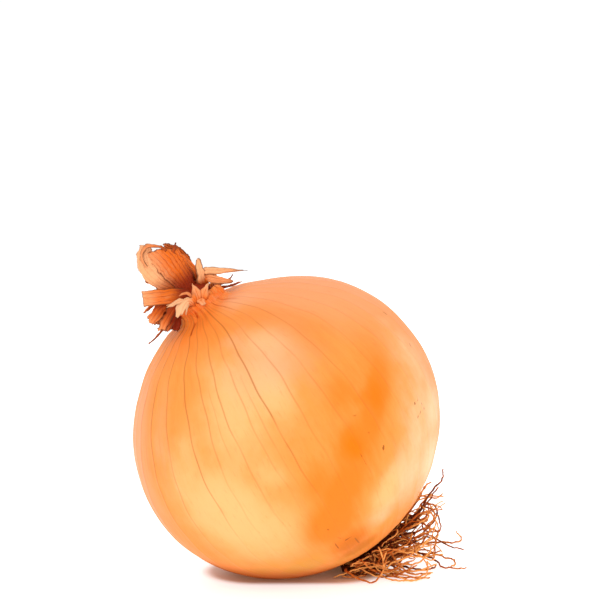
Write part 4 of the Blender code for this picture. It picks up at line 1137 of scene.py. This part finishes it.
# %% Where the roots go
ROOT_COUNT = 44  # by the rule, besides the placed ones
ROOT_RADIUS = 0.46
ROOT_LENGTHS = (17.0, 33.0)
ROOT_STEP = 2.6
ROOT_SEED = 7
ROOT_CLEAR = 1.2  # distance that a root keeps from the bulb
ROOT_FREE_SPOT = 16.0  # radius round the resting spot that stays free of roots
GOLDEN_ANGLE = math.radians(137.508)
SPREAD, SPREAD_AT_RIM = 18.0, 66.0  # degrees off the axis in the middle of the plate, and more at its rim
PLACED_ROOTS = (
    # each one: the points that it passes through, in the scene's frame and in millimetres
    # up beside the bulb, ending in a hook
    ((24, -4, 8), (29.6, -9, 10.5), (34.6, -10.5, 16), (39, -10.5, 22.5), (42, -10, 25), (42.2, -9.6, 28)),
    ((25, -2, 8), (31.4, -6, 10), (36, -7.5, 14.5), (39.4, -8, 19.6), (41.4, -8, 22.4)),
    # the tangle to the right
    ((25, 0, 9), (30.5, -2, 8), (36, -2, 11.5), (41, -2, 14.6), (44.4, -2, 14.6)),
    ((26, 1, 9), (33.7, 0, 6.5), (39.8, 0, 9), (44.4, 0, 11.6), (44, 0.5, 15.6), (40.8, 1, 15.8)),
    ((23, -5, 7), (27.6, -11.6, 5.6), (32.6, -13.6, 6.6), (36.4, -12.6, 10.4), (38, -12, 14)),
    ((25, -3, 8), (31, -8, 8), (36.6, -9, 10), (39.6, -9.4, 14), (38.4, -10.4, 18.4)),
    # the one to the far right, with its branch
    ((25, 2, 8), (36, 2, 4.4), (42, 2, 6.4), (48.4, 2, 3.6), (53.8, 2, 1.6)),
    ((25, 3, 7), (36, 3, 5), (46, 2.5, 4.2), (52.8, 2, 4.4), (51.6, 2, 7.4)),
    # a loop on the floor and the end that leaves it
    ((25, 4, 6), (36, 1, 3), (41.4, -2.5, 1.6), (41.8, -9, 0.6), (43, -13.4, 0.6), (48, -13.8, 0.6)),
    ((24, 3, 5), (36, 2, 3), (43, 0, 1.6), (47.4, -2, 0.7), (47, -8, 0.6), (43.6, -12.6, 0.7)),
    # those that lie on the floor
    ((22, -4, 6), (24, -10, 2.4), (25.4, -16.6, 0.6), (29, -20.4, 0.6), (34, -20.8, 0.6)),
    ((24, -3, 5), (27, -10, 1.8), (31, -15.6, 0.6), (36.4, -17, 0.6)),
    ((20, -5, 5), (20.6, -10, 1.6), (17, -13.6, 0.6), (11, -13.8, 0.6)),
    ((24, -2, 5), (29, -6, 1.8), (33, -11, 0.6), (38, -12, 0.6), (40.4, -9.6, 1)),
)
FINE_ROOTS = (
    # each one: its tone from 0, dark, to 1, pale, and the points that it passes through
    # first those that climb beside the bulb
    (0.3, (
        (24, -4, 8), (35, -4, 13), (38.8, -5, 16.4), (42.4, -6, 13.8), (43.1, -6, 10.6), (41.9, -6, 7.8),
        (41.4, -6, 2),
    )),
    (0.5, ((25, -2, 8), (32.7, -6, 15), (35.7, -8, 19.5), (37.1, -9, 23), (39.2, -9, 24))),
    (0.6, ((24, -5, 8), (30.4, -8, 13.5), (33.1, -10, 18.6), (35.4, -11, 22.6), (37.1, -11, 24.2))),
    (0.4, ((26, 0, 9), (34.9, -8, 15.3), (36.5, -9, 18.5), (40.2, -9, 17.7), (42.3, -9, 16.1))),
    (0.3, ((25, -3, 8), (32.6, -10, 11.5), (35.4, -12, 14.6), (38.3, -12, 17), (41, -12, 16.8))),
    # those in the tangle
    (0.4, ((24, -6, 7), (31.2, -12, 10.6), (34, -14, 12.3), (36.9, -14, 13.8), (39.4, -13, 16))),
    (0.7, (
        (23, -6, 7), (30.4, -12, 9.3), (33, -15, 10.9), (36.2, -15, 11.8), (38.4, -14, 14), (37.7, -12, 16.4),
    )),
    (0.5, (
        (24, -5, 8), (30, -12, 12.7), (32.1, -14, 15.7), (35.4, -14, 17), (38.8, -13, 14.6),
        (39.9, -12, 11.2),
    )),
    (0.3, (
        (23, -6, 6), (28.3, -12, 7.1), (31.2, -15, 9.8), (34.3, -16, 11), (37.8, -15, 9.4), (38.1, -13, 3.3),
    )),
    (0.6, ((25, -3, 7), (33.6, -9, 13), (37, -11, 12.3), (40, -11, 10.4), (39.9, -10, 6.8), (38.2, -9, 4.4))),
    (0.8, (
        (24, -5, 7), (28.9, -12, 11.6), (31, -14, 13.3), (34.2, -14, 14.2), (36.7, -13, 15.8),
        (35.3, -12, 18),
    )),
    # pale ones that sweep forward and lie on the floor
    (1.0, ((20, -6, 5), (27.8, -9, 3.1), (21.2, -13, 2.8), (13.8, -15, 2.6), (8.8, -13.6, 0.6))),
    (0.9, ((21, -6, 5), (30.5, -8, 3.8), (23, -12, 3.3), (17, -14, 2.7), (13.6, -10.8, 0.6))),
    (0.9, (
        (20, -7, 5), (28.2, -10, 5.6), (19.9, -14, 5.9), (14.3, -15, 6.5), (12.9, -15, 4.9), (15.6, -14, 2.8),
    )),
    (0.8, ((22, -6, 6), (31.2, -10, 6.5), (36, -12, 8), (39.9, -12, 9.8))),
    (1.0, ((22, -6, 5), (28.9, -12, 5.7), (32.6, -14, 7.3), (36.4, -14, 9.3), (38.6, -13, 12.6))),
    (0.9, ((21, -7, 5), (24.5, -12, 2.6), (28.2, -16, 5.2), (32.4, -18, 7.9), (35, -18, 11.1))),
    (1.0, (
        (20, -6, 4), (21.5, -10, 1.5), (25.2, -14, 1.6), (29.5, -18, 1.9), (33.8, -19, 2.2), (33.5, -19, 4.7),
    )),
    (0.9, (
        (19, -6, 4), (20.3, -10, 0.7), (22.7, -18.5, 0.6), (25.6, -22.8, 0.6), (31.2, -21.1, 0.6),
        (36, -16.7, 0.6),
    )),
    (0.8, (
        (20, -6, 4), (22.6, -10, 0.6), (27.3, -16.4, 0.6), (31.6, -18.9, 0.6), (34.5, -18, 1.9),
        (34, -17, 4.2),
    )),
    (1.0, (
        (21, -6, 5), (23.6, -12, 3.5), (28, -16, 3.3), (31.8, -18, 4.3), (35.2, -17, 6.4), (36.2, -16, 8.9),
    )),
    (0.9, ((19, -6, 4), (23.1, -12, 0.7), (25.9, -18.3, 0.6), (28.8, -22.7, 0.6), (33.1, -19.3, 0.6))),
    (0.9, (
        (21, -7, 5), (22.4, -12, 4.1), (26.2, -16, 6.8), (30.1, -18, 6.9), (33.6, -18, 4.7),
        (38.5, -11.4, 0.6),
    )),
)
LAID_MM = Matrix.Scale(1 / MM, 4) @ LAID
UPRIGHT_MM = LAID_MM.inverted()


def keep_clear(point, way):
    """Turns a root away from the spot where the bulb rests, from the bulb and from the floor."""
    flat = Vector((point.x, point.y, 0.0))
    if flat.length < ROOT_FREE_SPOT:
        push = flat.normalized()
        point = point + push * (ROOT_FREE_SPOT - flat.length) * 0.7
        way = (way + push * 0.5).normalized()
    local = UPRIGHT_MM @ point
    polar = local.angle(Vector((0.0, 0.0, 1.0)))
    larger = 1.0 + float(uneven(polar, math.atan2(local.y, local.x)))
    surface = float(outline_radius(math.degrees(polar))) * larger + ROOT_CLEAR
    if local.length < surface:
        out = LAID_MM.to_3x3() @ local.normalized()
        point = point + out * (surface - local.length)
        way = (way - out * min(0.0, way.dot(out)) + out * 0.10).normalized()
    floor = ROOT_RADIUS + 0.05
    if point.z < floor:
        point = Vector((point.x, point.y, floor))
        way = Vector((way.x, way.y, abs(way.z) * 0.25)).normalized()
    return point, way


def root_by_rule(number, count, seed, lengths):
    """The way of one root, from inside the plate: out of the foot, round the bulb and along the floor."""
    rng = random.Random(seed * 1000 + number)
    share = math.sqrt((number + 0.5) / count)
    turn = number * GOLDEN_ANGLE + rng.uniform(-0.2, 0.2)
    radial = Vector((math.cos(turn), math.sin(turn), 0.0))
    face = float(outline[0][1]) - PLATE_THICK + PLATE_HOLLOW
    start = radial * (share * (PLATE_RADIUS - 1.0)) + Vector((0.0, 0.0, face + 1.0))
    spread = math.radians(SPREAD + SPREAD_AT_RIM * share + rng.uniform(-14.0, 14.0))
    way = radial * math.sin(spread) - Vector((0.0, 0.0, math.cos(spread)))
    point, way = LAID_MM @ start, LAID_MM.to_3x3() @ way
    steps = round(rng.uniform(*lengths) / ROOT_STEP)
    phases = [rng.uniform(0, 2 * math.pi) for _ in range(6)]
    rates = [rng.uniform(0.5, 1.2) for _ in range(3)]
    strong = rng.uniform(0.25, 0.6)
    rise = Vector((0.14, 0.0, rng.uniform(-0.02, 0.2)))
    path = [point]
    for i in range(steps):
        bend = Vector([math.sin(phases[k] + rates[k] * i) for k in range(3)])
        bend += Vector([0.5 * math.sin(phases[k + 3] + 2.3 * rates[k] * i) for k in range(3)])
        way = (way + bend * strong + rise).normalized()
        point, way = keep_clear(point + way * ROOT_STEP, way)
        path.append(point)
    return path


def root_as_placed(points):
    """A smooth way through these points, in equal steps."""
    foot = UPRIGHT_MM @ Vector(points[0])
    foot.z = float(outline[0][1]) + PLATE_HOLLOW - PLATE_THICK + 0.8
    points = (tuple(LAID_MM @ foot), *points[1:])
    length = sum((Vector(b) - Vector(a)).length for a, b in zip(points, points[1:]))
    steps = max(4, round(length / ROOT_STEP))
    path = [Vector(along_path(points, i / steps)) for i in range(steps + 1)]
    return [path[0], *(keep_clear(point, Vector((0.0, 0.0, 1.0)))[0] for point in path[1:])]


walks = [root_as_placed(points) for points in PLACED_ROOTS]
walks += [root_by_rule(number, ROOT_COUNT, ROOT_SEED, ROOT_LENGTHS) for number in range(ROOT_COUNT)]
print("roots:", len(walks), " longest, mm:", round(max(len(w) for w in walks) * ROOT_STEP))

# %% Roots as tubes
PLACED_WIRE = (0.37, 0.19)  # radius at the foot and at the tip
FINE_WIRE = (0.32, 0.15)
HAIR_WIRE = (0.30, 0.14)
HAIRS = (
    # how many, the seed of their walks, least and greatest length, the seed of the first tube, tone
    (190, 61, (9.0, 25.0), 400, None),  # each with a tone of its own
    # painted dark, as shade in the depth of the tangle
    (120, 83, (6.0, 16.0), 700, -0.3),  # short and dark, for the depth of the tangle
)
ROW_STEP = 0.62  # between two rings of a tube, in millimetres
CROOK = 0.30  # how far a tube strays from its walk


def root_tube(walk, seed, thick, tip, sides, tone=None):
    """Points, faces and numbers of a kinked tube along a walk in the scene's frame."""
    rng = random.Random(seed)
    length = (len(walk) - 1) * ROOT_STEP
    rows = max(8, round(length / ROW_STEP))
    share = np.linspace(0, 1, rows)
    line = along_path([tuple(p) for p in walk], share)
    crook = np.stack([waver(seed + k, share * length * 0.62, (1.0, 2.3, 4.1)) for k in range(3)], 1)
    line = line + crook * CROOK * smooth(share * 5)[:, None]
    line[:, 2] = np.maximum(line[:, 2], thick * 0.9)
    line = (np.c_[line, np.ones(rows)] @ np.array(UPRIGHT_MM).T)[:, :3]
    along = unit(np.gradient(line, axis=0))
    across = unit(np.cross(along, (0.31, 0.74, 0.6)))
    other = np.cross(along, across)
    radius = thick + (tip - thick) * share
    radius = radius * (1 + 0.22 * waver(seed + 9, share * length * 1.7))
    radius[-1] *= 0.4
    turn = np.arange(sides) * 2 * math.pi / sides
    ring = across[:, None] * np.cos(turn)[None, :, None] + other[:, None] * np.sin(turn)[None, :, None]
    points, faces = closed_rings(line[:, None] + ring * radius[:, None, None], line[[0, -1]])
    shade = rng.random() if tone is None else tone
    # painted shade: every root is darker near its foot, in the depth of the tangle, and paler towards its tip
    foot_shade = 0.55 * (1.0 - smooth(share * length / 11.0))
    numbers = {
        "tan": np.append(np.repeat(shade * 0.85 + 0.60 * share - 0.20 - foot_shade, sides), [-0.5, shade]),
        "way": np.append(np.repeat(share * length, sides), [0.0, length]) + 40 * shade,
    }
    return points, faces, numbers


def root_plate():
    """The rough disc that the roots spring from."""
    rim = float(outline[0][1])
    top, face = rim + PLATE_HOLLOW - NODE_GAP, rim + PLATE_HOLLOW - PLATE_THICK
    line = ((0.5, face - 0.5), (5.2, face - 0.3), (8.0, face + 0.4), (8.6, top - 0.6), (8.6, top), (0.5, top))
    rings = around(*turned(line, 22, 80))
    bumps = soft_noise(rings, 2.4, 17)
    rings[..., 2] -= 0.35 * bumps * smooth((rim - rings[..., 2]) / 0.5)
    points, faces = closed_rings(rings, [[0, 0, face - 0.5], [0, 0, top]])
    return points, faces, {"tan": np.append(bumps * 0.25 + 0.15, [0, 0]), "way": points[:, 0] * 2}


def make_roots():
    parts = [root_plate()]
    parts += [root_tube(walk, 200 + i, *PLACED_WIRE, 7) for i, walk in enumerate(walks)]
    for i, (tone, points) in enumerate(FINE_ROOTS):
        parts.append(root_tube(root_as_placed(points), 600 + i, *FINE_WIRE, 6, tone))
    for count, seed, lengths, first, tone in HAIRS:
        for number in range(count):
            walk = root_by_rule(number, count, seed, lengths)
            parts.append(root_tube(walk, first + number, *HAIR_WIRE, 6, tone))
    return as_piece("dry_roots", *joined(parts))


roots = make_roots()

# %% [markdown]
# ## The finish of the roots
#
# Each root has its own tone, from dark red-brown to tan, and gets paler towards its tip; near its foot it
# is painted darker still, as shade in the depth of the tangle, and short hairs painted dark add to that
# shade. Short darker bands along it stand for the dry kinks.

# %% Root colours
ROOT_DARK = (0.10, 0.015, 0.002)
ROOT_MID = (0.41, 0.088, 0.008)
ROOT_TAN = (0.83, 0.36, 0.095)


def root_finish():
    root = Recipe("dry_root")
    place, way = root.spot("place"), root.number("way")
    values = {"W": way, "Scale": 0.55, "Detail": 4.0}
    bands = root.node("ShaderNodeTexNoise", {"noise_dimensions": "1D"}, values)
    grain = root.noise(place, 1.4, 4.0, 0.6)
    tan = root.number("tan") + (bands - 0.5) * 0.7 + (grain - 0.5) * 0.4
    colour = root.mix(tan.step(0.05, 0.5), ROOT_DARK, ROOT_MID)
    colour = root.mix(tan.step(0.45, 0.95), colour, ROOT_TAN)
    return root.finish(
        Base_Color=colour,
        Roughness=grain * 0.25 + 0.55,
        Specular_IOR_Level=0.12,
        Normal=root.bump(grain + bands, 0.6),
    )


roots.data.materials.append(root_finish())
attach(roots, "root")
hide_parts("roots")

# %% [markdown]
# ## The floor and the light
#
# The onion lies on a plain white floor in a bright, even studio: a white world gives soft light from all
# round, one large panel gives the front some shape, and two more keep the shadows thin. The floor has a
# soft gloss and a faint glow that keeps it white. A small patch under the onion glows less and is warmer:
# it is a painted shadow, tinted with a painted reflection of the orange bulb.

# %% Floor
SHADE_WAY = (0.956, -0.292, 0.0)  # the shade under the onion is long this way
SHADE_ACROSS = (0.292, 0.956, 0.0)
SHADE_MIDDLE, SHADE_HALF = 0.002, 0.010  # the straight part of its edge, along that way
SHADE_REACH = (0.0120, 0.0168)  # distances from that part at which the shade starts to fade and ends
# the warm floor colour and the weaker glow under the onion are a painted shadow with a painted orange
# reflection
FLOOR_WHITE, FLOOR_SHADOW_TINT = (0.80, 0.77, 0.74), (0.80, 0.56, 0.40)
GLOW_WHITE, GLOW_IN_SHADOW = (1, 1, 1), (0.16, 0.07, 0.035)
FLOOR_REACH = 2.5


def make_floor():
    mesh = bpy.data.meshes.new("floor")
    corners = [(x * FLOOR_REACH, y * FLOOR_REACH, 0) for x, y in ((-1, -1), (1, -1), (1, 1), (-1, 1))]
    mesh.from_pydata(corners, [], [(0, 1, 2, 3)])
    floor = bpy.data.objects.new("floor", mesh)
    bpy.context.scene.collection.objects.link(floor)
    paint = Recipe("white_floor")
    where = paint.node("ShaderNodeTexCoord", output="Object")
    along, across = (paint.measure("DOT_PRODUCT", where, way) for way in (SHADE_WAY, SHADE_ACROSS))
    beyond = (((along - SHADE_MIDDLE) ** 2) ** 0.5 - SHADE_HALF).most(0.0)
    outside = ((beyond**2 + across**2) ** 0.5).step(*SHADE_REACH)
    mesh.materials.append(paint.finish(
        Base_Color=paint.mix(outside, FLOOR_SHADOW_TINT, FLOOR_WHITE),
        Roughness=paint.noise(where, 6.0, 2.0) * 0.06 + 0.30,
        Specular_IOR_Level=0.25,
        Emission_Color=paint.mix(outside, GLOW_IN_SHADOW, GLOW_WHITE),
        Emission_Strength=0.60,
    ))


make_floor()

# %% Lights and world
PANELS = (
    # name, place in metres, size in metres and power in watts; all aim at the middle of the onion
    ("key_panel", (-0.5, -0.95, 0.42), 0.8, 3.6),
    ("side_panel", (0.85, -0.35, 0.35), 0.6, 1.4),
    ("top_panel", (0.1, 0.3, 1.0), 0.8, 0.8),
)
MIDDLE = Vector((0.0, 0.0, 0.04))
WORLD_LIGHT = 1.03
for name, at, size, power in PANELS:
    light = bpy.data.lights.new(name, "AREA")
    light.shape, light.size, light.energy = "DISK", size, power
    lamp = bpy.data.objects.new(name, light)
    lamp.location = at
    lamp.rotation_mode = "QUATERNION"
    lamp.rotation_quaternion = (MIDDLE - Vector(at)).to_track_quat("-Z", "Y")
    bpy.context.scene.collection.objects.link(lamp)
    print(name, "size, m:", size, " power, W:", power)
world = bpy.data.worlds.new("studio")
world.use_nodes = True
sky = world.node_tree.nodes["Background"].inputs
sky["Color"].default_value, sky["Strength"].default_value = (1, 1, 1, 1), WORLD_LIGHT
bpy.context.scene.world = world
bpy.context.scene.view_settings.view_transform = "Standard"

# %% [markdown]
# ## The camera
#
# The camera stands a little to the left of the onion and 8 degrees above it, and looks at a point above it,
# so that the onion sits low in the picture. Turning the camera does this without a lens shift.

# %% Camera
CAMERA_TURN, CAMERA_RISE = math.radians(-17.0), math.radians(8.0)
CAMERA_AWAY = 0.3915
LENS_MM, SENSOR_MM = 85.0, 36.0
AIM_RIGHT, AIM_UP = 0.0037, 0.0345  # from the middle of the bulb, as the camera sees it


def make_camera():
    lens = bpy.data.cameras.new("camera")
    lens.lens, lens.sensor_width = LENS_MM, SENSOR_MM
    lens.clip_start, lens.clip_end = 0.01, 20.0
    camera = bpy.data.objects.new("camera", lens)
    back = Vector((
        math.sin(CAMERA_TURN) * math.cos(CAMERA_RISE),
        -math.cos(CAMERA_TURN) * math.cos(CAMERA_RISE),
        math.sin(CAMERA_RISE),
    ))
    right = Vector((0, 0, 1)).cross(back).normalized()
    middle = LAID.translation
    aim = middle + right * AIM_RIGHT + back.cross(right) * AIM_UP
    camera.location = middle + back * CAMERA_AWAY
    camera.rotation_mode = "QUATERNION"
    camera.rotation_quaternion = (aim - camera.location).to_track_quat("-Z", "Y")
    bpy.context.scene.collection.objects.link(camera)
    bpy.context.scene.camera = camera
    print("camera at, mm:", [round(c / MM, 1) for c in camera.location])


make_camera()
